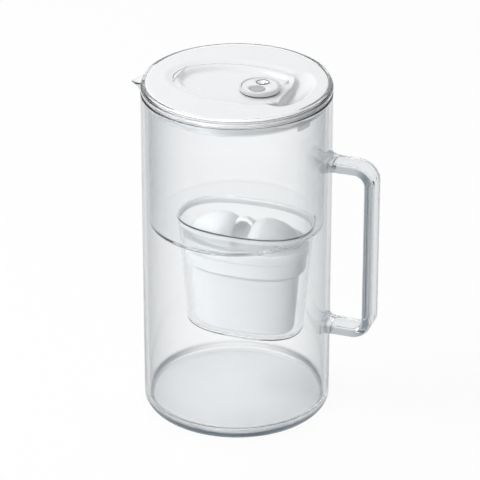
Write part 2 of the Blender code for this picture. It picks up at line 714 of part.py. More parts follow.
def scoop_region():
    """Where the finger scoop may be: beyond the crease, and a little under the flap's free end."""
    far = SCOOP_X + 2 * SCOOP_HALF_LENGTH
    half = SCOOP_HALF_WIDTH + SCOOP_EDGE
    outline = []
    for step in range(CREASE_STEPS + 1):
        y = half * (2.0 * step / CREASE_STEPS - 1.0)
        x = CREASE_X + CREASE_BACK * (y / SCOOP_HALF_WIDTH) ** 2
        outline.append((x, y))
    outline += [(far, half), (far, -half)]
    low, high = LID_TOP - 2 * SCOOP_DEPTH, LID_TOP + SCOOP_DEPTH
    region = lofted("scoop_region", [[(x, y, z) for x, y in outline] for z in (low, high)])
    join(region, block(
        "finger_room",
        (CHUTE_END_X + CHUTE_WALL, -FINGER_ROOM, low),
        (SCOOP_X, FINGER_ROOM, DISH_FLOOR - FLAP_THICKNESS / 2),
    ))
    return region


def make_lid(finish):
    """The round lid: skirt, tray and chute under the flap, finger scoop and hinge bosses."""
    skirt_z = LID_UNDER - SKIRT_HEIGHT
    skirt_inside = SKIRT_RADIUS - SKIRT_WALL
    lid = turned("lid", [
        (0.0, LID_TOP), (LID_RADIUS - LID_EDGE, LID_TOP), (LID_RADIUS, LID_TOP - LID_EDGE),
        (LID_RADIUS, LID_UNDER), (SKIRT_RADIUS, LID_UNDER), (SKIRT_RADIUS, skirt_z),
        (skirt_inside, skirt_z), (skirt_inside, LID_UNDER), (0.0, LID_UNDER),
    ], finish)
    for side in (-1, 1):
        lug = block(
            f"skirt_lug_{'near' if side < 0 else 'far'}",
            (skirt_inside, -LUG_WIDTH / 2, skirt_z - LUG_HEIGHT),
            (SKIRT_RADIUS - SEAT_GAP, LUG_WIDTH / 2, LID_UNDER),
        )
        lug.rotation_euler.z = side * LUG_ANGLE
        join(lid, lug)

    inside_lid = LID_UNDER + LID_THICKNESS / 4
    under_flap = FLAP_THICKNESS + SEAT_GAP
    tray_side = FLAP_GAP + TRAY_WALL
    join(lid, dish_block(
        "tray_shell", tray_side, under_flap + TRAY_WALL, [leaf(tray_side, inside_lid, tip_room=TIP_ROOM)]
    ))
    chute_z = LID_UNDER - CHUTE_DEPTH
    ledge_z = RIM_TOP - under_flap - TRAY_WALL / 2
    chute_side = CHUTE_WALL - LEDGE_WIDTH
    join(lid, lofted("chute_shell", [
        leaf(chute_side, z, CHUTE_END_X + CHUTE_WALL + SEAT_GAP) for z in (chute_z, ledge_z)
    ]))
    scoop_top = (SCOOP_X, 0.0, LID_TOP + SCOOP_RISE)
    scoop_deep = -SCOOP_DEPTH - SCOOP_RISE
    bowl = ellipsoid(
        "scoop_bowl",
        scoop_top,
        (SCOOP_HALF_LENGTH + SCOOP_WALL, SCOOP_HALF_WIDTH + SCOOP_WALL, scoop_deep - SCOOP_WALL),
        32,
        5,
    )
    keep_inside(bowl, block(
        "bowl_limit",
        (CHUTE_END_X + CHUTE_WALL / 2, -2 * SCOOP_HALF_WIDTH, LID_UNDER - 2 * SCOOP_DEPTH),
        (SCOOP_X + 2 * SCOOP_HALF_LENGTH, 2 * SCOOP_HALF_WIDTH, inside_lid),
    ))
    join(lid, bowl)
    boss_end = BOSS_START + BOSS_LENGTH
    tip_x = LEAF_X - LEAF_BACK
    pocket_x = tip_x - FLAP_GAP - 2 * TIP_ROOM
    pocket_z = HINGE_Z - HINGE_INSET - 2 * TIP_ROOM
    pocket_half = BOSS_START - SEAT_GAP
    pocket_end = HINGE_X + HINGE_INSET
    join(lid, block(
        "hinge_block",
        (pocket_x - TRAY_WALL, -boss_end - TRAY_WALL, pocket_z - TRAY_WALL),
        (pocket_end, boss_end + TRAY_WALL, inside_lid),
    ))

    cut(lid, block(
        "hinge_pocket", (pocket_x, -pocket_half, pocket_z), (pocket_end + TIP_ROOM, pocket_half, LID_UNDER)
    ))
    shoulder = [leaf(SHOULDER_WIDTH, LID_TOP + LID_THICKNESS)]
    for share in (1.0, 0.7, 0.3, 0.0):
        fall = SHOULDER_DROP * (1.0 - share * share * (3.0 - 2.0 * share))
        offset = FLAP_GAP + (SHOULDER_WIDTH - FLAP_GAP) * share
        shoulder.append(leaf(offset, LID_TOP - fall, tip_room=TIP_ROOM))
    cut(lid, dish_block("flap_clearance", FLAP_GAP, under_flap, shoulder))
    cut(lid, lofted("chute_cutter", [
        leaf(-LEDGE_WIDTH, z, CHUTE_END_X) for z in (chute_z - CHUTE_WALL, LID_TOP)
    ]))
    scoop = ellipsoid("scoop_cutter", scoop_top, (SCOOP_HALF_LENGTH, SCOOP_HALF_WIDTH, scoop_deep), 32, 5)
    keep_inside(scoop, scoop_region())
    cut(lid, scoop)
    boss_side = arc(HINGE_X, HINGE_Z, KNUCKLE_RADIUS, 0, 180, 6)
    boss_foot = HINGE_Z - HINGE_INSET
    boss_side += [(HINGE_X - KNUCKLE_RADIUS, boss_foot), (HINGE_X + KNUCKLE_RADIUS, boss_foot)]
    for side in (-1, 1):
        where = "near" if side < 0 else "far"
        middle = side * (BOSS_START + BOSS_LENGTH / 2)
        join(lid, plate(f"hinge_boss_{where}", boss_side, BOSS_LENGTH / 2, y=middle))
    hole_end = boss_end - TRAY_WALL / 2
    cut(lid, rod(
        "pin_hole_cutter", PIN_RADIUS + SEAT_GAP, (HINGE_X, -hole_end, HINGE_Z), (HINGE_X, hole_end, HINGE_Z)
    ))
    return lid


def make_flap_hinge_pin(finish):
    end = BOSS_START + BOSS_LENGTH / 2
    pin = rod("flap_hinge_pin", PIN_RADIUS, (HINGE_X, -end, HINGE_Z), (HINGE_X, end, HINGE_Z), finish)
    put_origin(pin, (HINGE_X, 0.0, HINGE_Z))
    return pin


def make_flap(finish):
    """The leaf-shaped flap: a shallow dish with a rounded edge and a hinge knuckle at its tip."""
    rings = [leaf(-inset, dish(0.0)) for inset in reversed(dish_insets())]
    edge = FLAP_EDGE
    for along, down in arc(edge, edge, edge, 90, 180, 2):
        rings.append(leaf(-along, dish(edge - (down - edge))))
    rings.append(leaf(0.0, dish(FLAP_THICKNESS)))
    rings += [leaf(-inset, dish(FLAP_THICKNESS)) for inset in dish_insets()]
    flap = lofted("flap", rings, finish)
    span = KNUCKLE_HALF_LENGTH
    join(flap, rod("flap_knuckle", KNUCKLE_RADIUS, (HINGE_X, -span, HINGE_Z), (HINGE_X, span, HINGE_Z)))
    hole = LEAF_HALF_WIDTH
    cut(flap, rod(
        "knuckle_hole_cutter", PIN_RADIUS + SEAT_GAP, (HINGE_X, -hole, HINGE_Z), (HINGE_X, hole, HINGE_Z)
    ))
    for side in (-1, 1):
        near, far = side * (BOSS_START - FLAP_GAP), side * LEAF_HALF_WIDTH
        cut(flap, block(
            f"boss_relief_{'near' if side < 0 else 'far'}",
            (LEAF_X - 2 * LEAF_BACK, min(near, far), DISH_FLOOR),
            (HINGE_X + KNUCKLE_RADIUS + 2 * FLAP_GAP, max(near, far), LID_TOP + KNUCKLE_RADIUS),
        ))
    case_hole = CASE_RADIUS + SEAT_GAP
    cut(flap, rod(
        "case_hole_cutter",
        case_hole,
        (INDICATOR_X, 0.0, DISH_FLOOR - 2 * FLAP_THICKNESS),
        (INDICATOR_X, 0.0, DISH_FLOOR + FLAP_THICKNESS),
        steps=CASE_STEPS,
    ))
    return flap


def case_turned(name, profile, finish=None):
    return turned(name, profile, finish, CASE_STEPS, (INDICATOR_X, 0.0))


def make_indicator_case(case_finish, seal_finish):
    """The indicator's case, a bezel on the flap and a tube through it, and the seal under it."""
    bead_z = DISH_FLOOR - FLAP_THICKNESS - SEAT_GAP - SNAP_BEAD
    bezel_inside = INDICATOR_RADIUS - BEZEL_WALL
    ledge = CASE_INSIDE - BOARD_LEDGE
    ledge_top = BOARD_Z - SEAT_GAP
    round_over = BEZEL_WALL / 4
    groove_low = CASE_Z + BAYONET_DEPTH
    groove_high = groove_low + 2 * BAYONET_DEPTH
    groove = CASE_INSIDE + BAYONET_DEPTH
    case = case_turned("indicator_housing", [
        (INDICATOR_RADIUS, CASE_TOP - round_over), (INDICATOR_RADIUS - round_over, CASE_TOP),
        (bezel_inside, CASE_TOP), (bezel_inside, CASE_FLOOR_TOP), (CASE_INSIDE, CASE_FLOOR_TOP),
        (CASE_INSIDE, ledge_top), (ledge, ledge_top), (ledge, CELL_TOP + SEAT_GAP),
        (CASE_INSIDE, CELL_TOP + SEAT_GAP), (CASE_INSIDE, groove_high),
        (groove, groove_high), (groove, groove_low), (CASE_INSIDE, groove_low),
        (CASE_INSIDE, CASE_Z), (CASE_RADIUS, CASE_Z),
        (CASE_RADIUS, bead_z - SNAP_BEAD), (CASE_RADIUS + SNAP_BEAD, bead_z),
        (CASE_RADIUS, bead_z + SNAP_BEAD), (CASE_RADIUS, BEZEL_Z), (INDICATOR_RADIUS, BEZEL_Z),
    ], case_finish)
    low = DISH_FLOOR + SEAT_GAP
    inner, outer = CASE_RADIUS + SEAT_GAP, INDICATOR_RADIUS - SEAL_THICKNESS
    case_turned("indicator_seal", [
        (outer, low + SEAL_THICKNESS), (outer, low), (inner, low), (inner, low + SEAL_THICKNESS)
    ], seal_finish)
    return case


def make_indicator_top(cover_finish, window_finish, button_finish):
    """The cover with its lamp window, and the button that restarts the filter timer."""
    cover = case_turned("indicator_cover", [
        (0.0, COVER_Z), (COVER_RADIUS, COVER_Z), (COVER_RADIUS, COVER_TOP), (0.0, COVER_TOP)
    ], cover_finish)
    hole = BUTTON_RADIUS + SEAT_GAP
    flange = BUTTON_RADIUS + BUTTON_FLANGE
    recess_top = COVER_TOP - FLAP_EDGE + SEAT_GAP / 2
    flange_top = recess_top - SEAT_GAP
    flange_z = COVER_Z + BUTTON_TRAVEL - SEAT_GAP / 2
    button_x, button_y = INDICATOR_X, -BUTTON_PLACE

    def upright(name, radius, y, low, high, finish=None, x=button_x, steps=CASE_STEPS):
        return rod(name, radius, (x, y, low), (x, y, high), finish, steps)

    cut(cover, upright("button_hole_cutter", hole, button_y, COVER_Z - SEAT_GAP, COVER_TOP + SEAT_GAP))
    cut(cover, upright("button_recess_cutter", flange + SEAT_GAP, button_y, COVER_Z - SEAT_GAP, recess_top))
    window_low = COVER_TOP - WINDOW_THICKNESS
    cut(cover, upright(
        "window_seat_cutter", WINDOW_RADIUS + SEAT_GAP, WINDOW_PLACE, window_low, COVER_TOP + SEAT_GAP
    ))
    for name, side in (("ready", -1), ("change", 1)):
        x = INDICATOR_X + side * LAMP_SPACING / 2
        cut(cover, upright(
            f"lamp_hole_{name}",
            LAMP_SIZE / 2 + LAMP_ROOM,
            WINDOW_PLACE,
            COVER_Z - SEAT_GAP,
            window_low + SEAT_GAP,
            x=x,
            steps=PIN_STEPS,
        ))
    window_top = COVER_TOP + SEAT_GAP / 2
    upright("led_window", WINDOW_RADIUS, WINDOW_PLACE, window_low + SEAT_GAP, window_top, window_finish)

    switch_top = PART_Z + SWITCH_HEIGHT + SEAT_GAP
    stem_low = switch_top + BUTTON_TRAVEL + SEAT_GAP / 2
    round_over = SEAT_GAP
    button_top = COVER_TOP + SEAT_GAP
    button = turned("reset_button", [
        (0.0, button_top), (BUTTON_RADIUS - round_over, button_top), (BUTTON_RADIUS, button_top - round_over),
        (BUTTON_RADIUS, flange_top), (flange, flange_top), (flange, flange_z),
        (STEM_RADIUS, flange_z), (STEM_RADIUS, stem_low), (0.0, stem_low),
    ], button_finish, CASE_STEPS, (button_x, button_y))
    put_origin(button, (button_x, button_y, COVER_TOP))


def make_indicator_inside(board_finish, lamp_finish, switch_finish, metal_finish):
    """The circuit board with its lamps and switch, the cell and the contact between them."""
    board_radius = CASE_INSIDE - SEAT_GAP
    case_turned("circuit_board", [
        (0.0, BOARD_Z), (board_radius, BOARD_Z), (board_radius, BOARD_TOP), (0.0, BOARD_TOP)
    ], board_finish)
    for name, side in (("led_ready", -1), ("led_change", 1)):
        x = INDICATOR_X + side * LAMP_SPACING / 2
        half = LAMP_SIZE / 2
        lamp = block(
            name,
            (x - half, WINDOW_PLACE - half, PART_Z),
            (x + half, WINDOW_PLACE + half, PART_Z + LAMP_HEIGHT),
            lamp_finish,
        )
        bevel = lamp.modifiers.new("lamp_edges", "BEVEL")
        bevel.width = LAMP_SIZE / 10
        bevel.segments = 1
    half = SWITCH_SIZE / 2
    switch = block(
        "reset_switch",
        (INDICATOR_X - half, -BUTTON_PLACE - half, PART_Z),
        (INDICATOR_X + half, -BUTTON_PLACE + half, PART_Z + SWITCH_HEIGHT),
        switch_finish,
    )
    join(switch, rod(
        "switch_plunger",
        STEM_RADIUS,
        (INDICATOR_X, -BUTTON_PLACE, PART_Z + SWITCH_HEIGHT / 2),
        (INDICATOR_X, -BUTTON_PLACE, PART_Z + SWITCH_HEIGHT + SEAT_GAP),
    ))
    can_edge = CELL_HEIGHT / 8
    case_turned("coin_cell", [
        (0.0, CELL_Z), (CELL_RADIUS - can_edge, CELL_Z), (CELL_RADIUS, CELL_Z + can_edge),
        (CELL_RADIUS, CELL_TOP - 2 * can_edge), (CELL_RADIUS - can_edge, CELL_TOP - can_edge),
        (CELL_RADIUS - 3 * can_edge, CELL_TOP - can_edge), (CELL_RADIUS - 3 * can_edge, CELL_TOP),
        (0.0, CELL_TOP),
    ], metal_finish)
    low, high = CELL_TOP + SEAT_GAP, BOARD_Z - SEAT_GAP
    thick, pad = CONTACT_THICKNESS, CONTACT_WIDTH
    x = INDICATOR_X
    plate("battery_contact", [
        (x - pad, high), (x, high), (x + pad / 2, low + thick), (x + pad, low + thick), (x + pad, low),
        (x + pad / 2 - thick, low), (x - thick, high - thick), (x - pad, high - thick),
    ], CONTACT_WIDTH / 2, metal_finish)


def make_battery_cover(cover_finish, ring_finish):
    """The twist-off cover below the cell, with two bayonet lugs, a coin slot and a seal ring."""
    radius = CASE_INSIDE - SEAT_GAP
    ring_z = BATTERY_COVER_TOP - 3 * RING_RADIUS
    seat = radius - 2 * RING_RADIUS - SEAT_GAP
    half_seat = RING_RADIUS + SEAT_GAP
    centre = Vector((INDICATOR_X, 0.0, 0.0))
    cover = case_turned("battery_cover", [
        (0.0, CASE_Z), (radius, CASE_Z), (radius, ring_z - half_seat), (seat, ring_z - half_seat),
        (seat, ring_z + half_seat), (radius, ring_z + half_seat), (radius, BATTERY_COVER_TOP),
        (0.0, BATTERY_COVER_TOP),
    ], cover_finish)
    reach = radius + BAYONET_DEPTH
    lug_z = CASE_Z + 1.5 * BAYONET_DEPTH
    join(cover, block(
        "bayonet_lugs",
        centre + Vector((-reach, -CONTACT_WIDTH / 2, lug_z)),
        centre + Vector((reach, CONTACT_WIDTH / 2, lug_z + BAYONET_DEPTH)),
    ))
    cut(cover, block(
        "coin_slot_cutter",
        centre + Vector((-radius / 2, -BAYONET_DEPTH, CASE_Z - BAYONET_DEPTH)),
        centre + Vector((radius / 2, BAYONET_DEPTH, CASE_Z + 2 * BAYONET_DEPTH)),
    ))
    put_origin(cover, (INDICATOR_X, 0.0, CASE_Z))
    middle = seat + SEAT_GAP + RING_RADIUS
    case_turned(
        "cover_seal_ring", arc(middle, ring_z, RING_RADIUS, 0, -270, 3), ring_finish
    )


def joint_empty(name, point, children):
    """An empty on a joint's axis that carries the pieces that move with it."""
    empty = bpy.data.objects.new(name, None)
    empty.location = point
    empty.empty_display_size = HANDLE_WIDTH
    bpy.context.collection.objects.link(empty)
    for child in children:
        thing = bpy.data.objects[child]
        thing.parent = empty
        thing.matrix_parent_inverse = Matrix.Translation(-Vector(point))
    return empty


def build():
    clear_scene()
    glass = finish_of("clear_glass", (0.93, 0.96, 0.97), 0.02, transmission=1.0, ior=1.47)
    clear = finish_of("clear_plastic", (0.94, 0.95, 0.96), 0.05, transmission=1.0, ior=1.5)
    white = finish_of("white_gloss_plastic", (0.82, 0.82, 0.83), 0.18)
    filter_white = finish_of("white_filter_plastic", (0.78, 0.79, 0.80), 0.35)
    silicone = finish_of("clear_silicone", (0.8, 0.82, 0.84), 0.3, transmission=0.8, ior=1.41)
    mesh_white = finish_of("white_screen", (0.75, 0.76, 0.77), 0.7)
    granules = finish_of("filter_medium", (0.62, 0.6, 0.56), 0.8)
    steel = finish_of("bright_steel", (0.62, 0.62, 0.63), 0.25, 1.0)
    board = finish_of("green_board", (0.03, 0.16, 0.07), 0.45)
    dark = finish_of("dark_plastic", (0.05, 0.05, 0.055), 0.4)
    grey = finish_of("grey_button", (0.3, 0.31, 0.32), 0.3)
    lamp = finish_of("lamp_epoxy", (0.85, 0.86, 0.8), 0.2)

    make_glass_jug(glass)
    make_glass_handle(glass)
    make_rim_gasket(silicone)
    make_funnel(clear)
    make_cartridge_cup(filter_white)
    make_cartridge_fill(granules, mesh_white)
    make_cartridge_cap(filter_white)
    make_lid(white)
    make_flap_hinge_pin(steel)
    make_flap(white)
    make_indicator_case(clear, dark)
    make_indicator_top(white, clear, grey)
    make_indicator_inside(board, lamp, dark, steel)
    make_battery_cover(white, dark)

    lid_axis = (0.0, 0.0, LID_UNDER)
    hinge_axis = (HINGE_X, 0.0, HINGE_Z)
    flap_pieces = (
        "flap", "indicator_housing", "indicator_seal", "indicator_cover", "led_window", "circuit_board",
        "led_ready", "led_change", "reset_switch", "coin_cell", "battery_contact", "reset_button",
        "battery_cover", "cover_seal_ring",
    )
    bpy.context.view_layer.update()
    joint_empty("funnel_lift", (0.0, 0.0, FLANGE_Z), ("funnel", "rim_gasket"))
    joint_empty("cartridge_lift", (WELL_SHIFT, 0.0, CUP_Z), (
        "cartridge_cup", "cartridge_cap", "filter_granules", "inlet_screen", "outlet_screen"
    ))
    joint_empty("lid_lift", lid_axis, ("lid", "flap_hinge_pin"))
    joint_empty("flap_hinge", hinge_axis, flap_pieces)


build()
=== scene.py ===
# Water filter pitcher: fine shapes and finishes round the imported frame.
# The handle points to +X and the pouring lip to -X. Sizes are in millimetres.

import math

import bmesh
import bpy
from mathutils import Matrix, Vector


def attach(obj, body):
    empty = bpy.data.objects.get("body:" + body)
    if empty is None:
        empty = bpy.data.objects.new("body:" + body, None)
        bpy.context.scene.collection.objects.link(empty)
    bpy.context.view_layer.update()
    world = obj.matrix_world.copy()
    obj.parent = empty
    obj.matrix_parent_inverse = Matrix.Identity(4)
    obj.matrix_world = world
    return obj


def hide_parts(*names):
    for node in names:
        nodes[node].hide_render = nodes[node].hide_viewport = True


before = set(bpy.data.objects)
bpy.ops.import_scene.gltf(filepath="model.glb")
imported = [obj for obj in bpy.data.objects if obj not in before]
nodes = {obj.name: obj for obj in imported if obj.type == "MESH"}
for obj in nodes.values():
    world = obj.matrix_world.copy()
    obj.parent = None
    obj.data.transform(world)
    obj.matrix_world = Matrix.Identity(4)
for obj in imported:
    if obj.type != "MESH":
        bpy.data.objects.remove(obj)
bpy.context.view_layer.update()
mm = 0.001
print("frame loaded:", len(nodes), "nodes")


class Wire:
    # a node's output that can be used in sums

    def __init__(self, tree, socket):
        self.tree, self.socket = tree, socket

    def math(self, operation, *values):
        step = self.tree.nodes.new("ShaderNodeMath")
        step.operation = operation
        for slot, value in zip(step.inputs, values):
            if isinstance(value, Wire):
                self.tree.links.new(value.socket, slot)
            else:
                slot.default_value = value
        return Wire(self.tree, step.outputs[0])

    def __add__(self, other):
        return self.math("ADD", self, other)

    def __sub__(self, other):
        return self.math("SUBTRACT", self, other)

    def __rsub__(self, other):
        return self.math("SUBTRACT", other, self)

    def __mul__(self, other):
        return self.math("MULTIPLY", self, other)

    def __pow__(self, other):
        return self.math("POWER", self, other)

    __radd__ = __add__
    __rmul__ = __mul__


class Finish:
    # one material: constants sit on the shader's sockets, the rest is fed by nodes

    def __init__(self, name, constants):
        self.material = bpy.data.materials.new(name)
        self.material.use_nodes = True
        self.tree = self.material.node_tree
        self.shader = self.tree.nodes["Principled BSDF"]
        for socket, value in constants.items():
            self.shader.inputs[socket].default_value = value
        place = self.node("ShaderNodeTexCoord", output="Object")
        self.place = self.node(
            "ShaderNodeVectorMath", {"operation": "SCALE"}, {"Vector": place, "Scale": 1.0 / mm}
        )

    def node(self, kind, settings=None, inputs=None, output=0):
        made = self.tree.nodes.new(kind)
        for name, value in (settings or {}).items():
            if name == "stops":
                while len(made.color_ramp.elements) < len(value):
                    made.color_ramp.elements.new(0.5)
                for element, (position, colour) in zip(made.color_ramp.elements, value):
                    element.position, element.color = position, (*colour, 1.0)
            else:
                setattr(made, name, value)
        for socket, value in (inputs or {}).items():
            self.feed(made.inputs[socket], value)
        return Wire(self.tree, made.outputs[output])

    def feed(self, socket, value):
        if isinstance(value, Wire):
            self.tree.links.new(value.socket, socket)
        else:
            socket.default_value = value

    def set(self, socket, value):
        self.feed(self.shader.inputs[socket], value)

    def grain(self, size, detail=2.0, stretch=(1.0, 1.0, 1.0)):
        at = self.node("ShaderNodeVectorMath", {"operation": "MULTIPLY"}, {0: self.place, 1: stretch})
        return self.node("ShaderNodeTexNoise", None, {"Vector": at, "Scale": 1.0 / size, "Detail": detail})

    def blend(self, share, first, second):
        return self.node("ShaderNodeMix", {"data_type": "RGBA"}, {0: share, 6: first, 7: second}, 2)

    def ramp(self, value, *stops):
        return self.node("ShaderNodeValToRGB", {"stops": stops}, {"Fac": value})

    def bump(self, height, depth):
        # depth in millimetres
        self.set("Normal", self.node("ShaderNodeBump", None, {"Height": height, "Distance": depth * mm}))

    def between(self, value, start, end, low=0.0):
        # low at the start, 1 at the end
        return self.node("ShaderNodeMapRange", None, {
            "Value": value, "From Min": start, "From Max": end, "To Min": low,
        })

    def axis(self, vector, name):
        return self.node("ShaderNodeSeparateXYZ", None, {0: vector}, name)

    def offAxis(self):
        # distance from the pitcher's axis
        flat = self.node(
            "ShaderNodeVectorMath", {"operation": "MULTIPLY"}, {0: self.place, 1: (1.0, 1.0, 0.0)}
        )
        return self.node("ShaderNodeVectorMath", {"operation": "LENGTH"}, {0: flat}, "Value")

    def lightThrough(self, tint):
        # shadow rays pass a clear piece with only its tint
        rays = self.node("ShaderNodeLightPath", output="Is Shadow Ray")
        clear = self.node("ShaderNodeBsdfTransparent", None, {"Color": (*tint, 1.0)})
        self.mixShown(rays, clear)

    def mixShown(self, share, other):
        # shows another shader in place of this one, by the share given
        own = Wire(self.tree, self.shader.outputs[0])
        both = self.node("ShaderNodeMixShader", None, {0: share, 1: own, 2: other})
        self.tree.links.new(both.socket, self.tree.nodes["Material Output"].inputs["Surface"])


# The edge colours in these looks are painted shade, blended in towards grazing angles: they stand for dark
# surroundings seen in and through the glass, and partly for its real absorption along long paths.
glassLook = {
    "body": (0.975, 0.98, 0.984), "edge": (0.14, 0.17, 0.20), "edgeShadePower": 2.0, "ior": 1.40,
    "glint": (0.5, 0.53, 0.56), "gloss": 0.3,
}
clearLook = {
    "body": (0.992, 0.994, 0.995), "edge": (0.66, 0.69, 0.71), "edgeShadePower": 2.2, "ior": 1.28,
    "glint": (0.7, 0.72, 0.74),
}
sideShadeLook = {  # the flat sides of the handle's strap: painted shade, partly the real absorption across the strap's width
    "tint": (0.20, 0.235, 0.26), "from": 0.8, "to": 0.97, "bars": 0.55, "barEnd": 96.0, "postStart": 106.0,
}
heelShadeLook = {  # the thick glass round the foot: a band of painted shade, partly the real absorption of the thick glass
    "tint": (0.03, 0.042, 0.056), "from": 66.0, "to": 68.0, "top": 12.0, "low": 7.0,
    "flat": 0.02, "steep": 0.24,
}


def makeClear(name, look, smudge, ripple, sideShade=None, heel=None):
    glint = look.get("glint", (1.0, 1.0, 1.0))
    made = Finish(name, {
        "Transmission Weight": 1.0, "IOR": look["ior"], "Specular Tint": (*glint, 1.0),
        "Specular IOR Level": look.get("gloss", 0.5),
    })
    facing = made.node("ShaderNodeLayerWeight", None, {"Blend": 0.5}, "Facing")
    body, edge = (*look["body"], 1.0), (*look["edge"], 1.0)
    # painted shade: the colour darkens towards grazing angles, partly the real absorption along long paths
    tint = made.blend(facing ** look["edgeShadePower"], body, edge)
    # painted shade on the strap's flat sides, less on the bars than on the post, partly the real absorption
    # across the strap
    if sideShade:
        across = made.axis(made.node("ShaderNodeTexCoord", output="Normal"), "Y")
        across = across.math("ABSOLUTE", across)
        share = made.between(across, sideShade["from"], sideShade["to"])
        depth = made.between(made.axis(made.place, "X"), sideShade["barEnd"], sideShade["postStart"], sideShade["bars"])
        tint = made.blend(share * depth, tint, (*sideShade["tint"], 1.0))
    # painted shade: a dark band round the foot, deepest where it is seen at a slant, partly the real
    # absorption of the thick heel
    if heel:
        ring = made.between(made.offAxis(), heel["from"], heel["to"])
        foot = made.between(made.axis(made.place, "Z"), heel["top"], heel["low"])
        slant = made.between(facing, heel["flat"], heel["steep"])
        tint = made.blend(ring * foot * slant, tint, (*heel["tint"], 1.0))
    made.set("Base Color", tint)
    made.set("Roughness", made.grain(38.0, 3.0) * smudge)
    made.bump(made.grain(26.0, 1.0), ripple)
    made.lightThrough((0.965, 0.972, 0.976))
    return made.material


groundLook = {
    "middle": (0.90, 0.903, 0.907), "cloud": (0.92, 0.923, 0.926), "ring": (0.90, 0.905, 0.91),
    "ringFrom": 50.0, "ringTo": 64.0,
}


def makeGroundGlass():
    made = Finish("groundGlass", {"Transmission Weight": 0.45, "IOR": 1.4})
    cloud = made.grain(9.0, 3.0)
    middle = made.blend(cloud, (*groundLook["middle"], 1.0), (*groundLook["cloud"], 1.0))
    ring = made.node("ShaderNodeMapRange", {"interpolation_type": "SMOOTHSTEP"}, {
        "Value": made.offAxis(), "From Min": groundLook["ringFrom"], "From Max": groundLook["ringTo"]
    })
    made.set("Base Color", made.blend(ring, middle, (*groundLook["ring"], 1.0)))
    made.set("Roughness", 0.45 + made.grain(0.8, 2.0) * 0.15)
    made.bump(made.grain(0.5, 2.0), 0.02)
    return made.material


def makeMilky(name, through, rough, level):
    made = Finish(name, {"Transmission Weight": through, "IOR": 1.32})
    dark, pale = level, level + 0.04
    made.set("Base Color", made.blend(
        made.grain(6.0), (dark, dark * 1.005, dark * 1.01, 1.0), (pale, pale, pale * 1.005, 1.0)
    ))
    made.set("Roughness", rough + made.grain(0.8, 2.0) * 0.1)
    made.bump(made.grain(0.7, 2.0), 0.01)
    return made.material


whiteLook = {"base": (0.88, 0.88, 0.885), "shade": (0.845, 0.848, 0.855)}


def makeWhiteGloss():
    made = Finish("lidWhite", {
        "Coat Roughness": 0.08, "IOR": 1.49, "Subsurface Weight": 0.15, "Subsurface Scale": 0.004,
        "Subsurface Radius": (1.0, 0.9, 0.85),
    })
    cloud = made.grain(34.0, 2.0)
    made.set("Base Color", made.blend(cloud, (*whiteLook["shade"], 1.0), (*whiteLook["base"], 1.0)))
    made.set("Roughness", 0.16 + made.grain(0.7, 2.0) * 0.08)
    made.set("Coat Weight", 0.25 + cloud * 0.2)
    made.bump(made.grain(1.6, 3.0), 0.02)
    return made.material


def makeFilterWhite():
    made = Finish("filterWhite", {
        "IOR": 1.48, "Subsurface Weight": 0.35, "Subsurface Scale": 0.008,
        "Subsurface Radius": (1.0, 0.95, 0.9),
    })
    flow = made.grain(22.0, 3.0, (1.0, 1.0, 0.35))
    made.set("Base Color", made.blend(flow, (0.86, 0.865, 0.873, 1.0), (0.91, 0.913, 0.917, 1.0)))
    made.set("Roughness", 0.24 + made.grain(0.5, 2.0) * 0.1)
    made.bump(made.grain(0.9, 2.0), 0.03)
    return made.material


def makeSteel():
    made = Finish("brightSteel", {"Metallic": 1.0, "IOR": 2.5})
    brushed = made.grain(0.25, 3.0, (1.0, 0.08, 1.0))
    made.set("Base Color", made.blend(brushed, (0.50, 0.50, 0.51, 1.0), (0.66, 0.66, 0.67, 1.0)))
    made.set("Roughness", 0.2 + brushed * 0.15)
    made.bump(brushed, 0.01)
    return made.material


def makeRubber():
    made = Finish("sealRubber", {"IOR": 1.5})
    speck = made.grain(0.3, 2.0)
    made.set("Base Color", made.blend(speck, (0.05, 0.05, 0.055, 1.0), (0.09, 0.09, 0.095, 1.0)))
    made.set("Roughness", 0.5 + speck * 0.2)
    made.bump(speck, 0.015)
    return made.material


def makeGreyGloss(name, level):
    made = Finish(name, {"IOR": 1.49, "Coat Weight": 0.3, "Coat Roughness": 0.1})
    cloud = made.grain(3.0, 2.0)
    dark, pale = level, level * 1.15
    made.set("Base Color", made.blend(cloud, (dark, dark, dark, 1.0), (pale, pale, pale * 1.02, 1.0)))
    made.set("Roughness", 0.22 + made.grain(0.4, 2.0) * 0.1)
    made.bump(made.grain(0.6, 2.0), 0.008)
    return made.material


def makeBoard():
    made = Finish("boardGreen", {"IOR": 1.5, "Coat Weight": 0.4, "Coat Roughness": 0.15})
    tracks = made.node("ShaderNodeTexBrick", {"offset": 0.5, "squash": 1.0}, {
        "Vector": made.place, "Scale": 0.35, "Mortar Size": 0.04, "Color1": (0.02, 0.13, 0.05, 1.0),
        "Color2": (0.03, 0.17, 0.07, 1.0), "Mortar": (0.10, 0.32, 0.14, 1.0),
    })
    made.set("Base Color", tracks)
    made.set("Roughness", 0.3 + made.grain(0.5) * 0.15)
    made.bump(made.grain(0.8), 0.02)
    return made.material


def makeSwitchBlack():
    made = Finish("switchBlack", {"IOR": 1.5})
    made.set("Base Color", made.blend(made.grain(0.6), (0.02, 0.02, 0.022, 1.0), (0.045, 0.045, 0.05, 1.0)))
    made.set("Roughness", 0.4 + made.grain(0.3) * 0.2)
    made.bump(made.grain(0.3), 0.01)
    return made.material


def makeLamp():
    made = Finish("lampResin", {"Transmission Weight": 0.6, "IOR": 1.54})
    made.set("Base Color", made.blend(made.grain(0.7), (0.86, 0.87, 0.78, 1.0), (0.93, 0.93, 0.9, 1.0)))
    made.set("Roughness", 0.12 + made.grain(0.4) * 0.1)
    return made.material


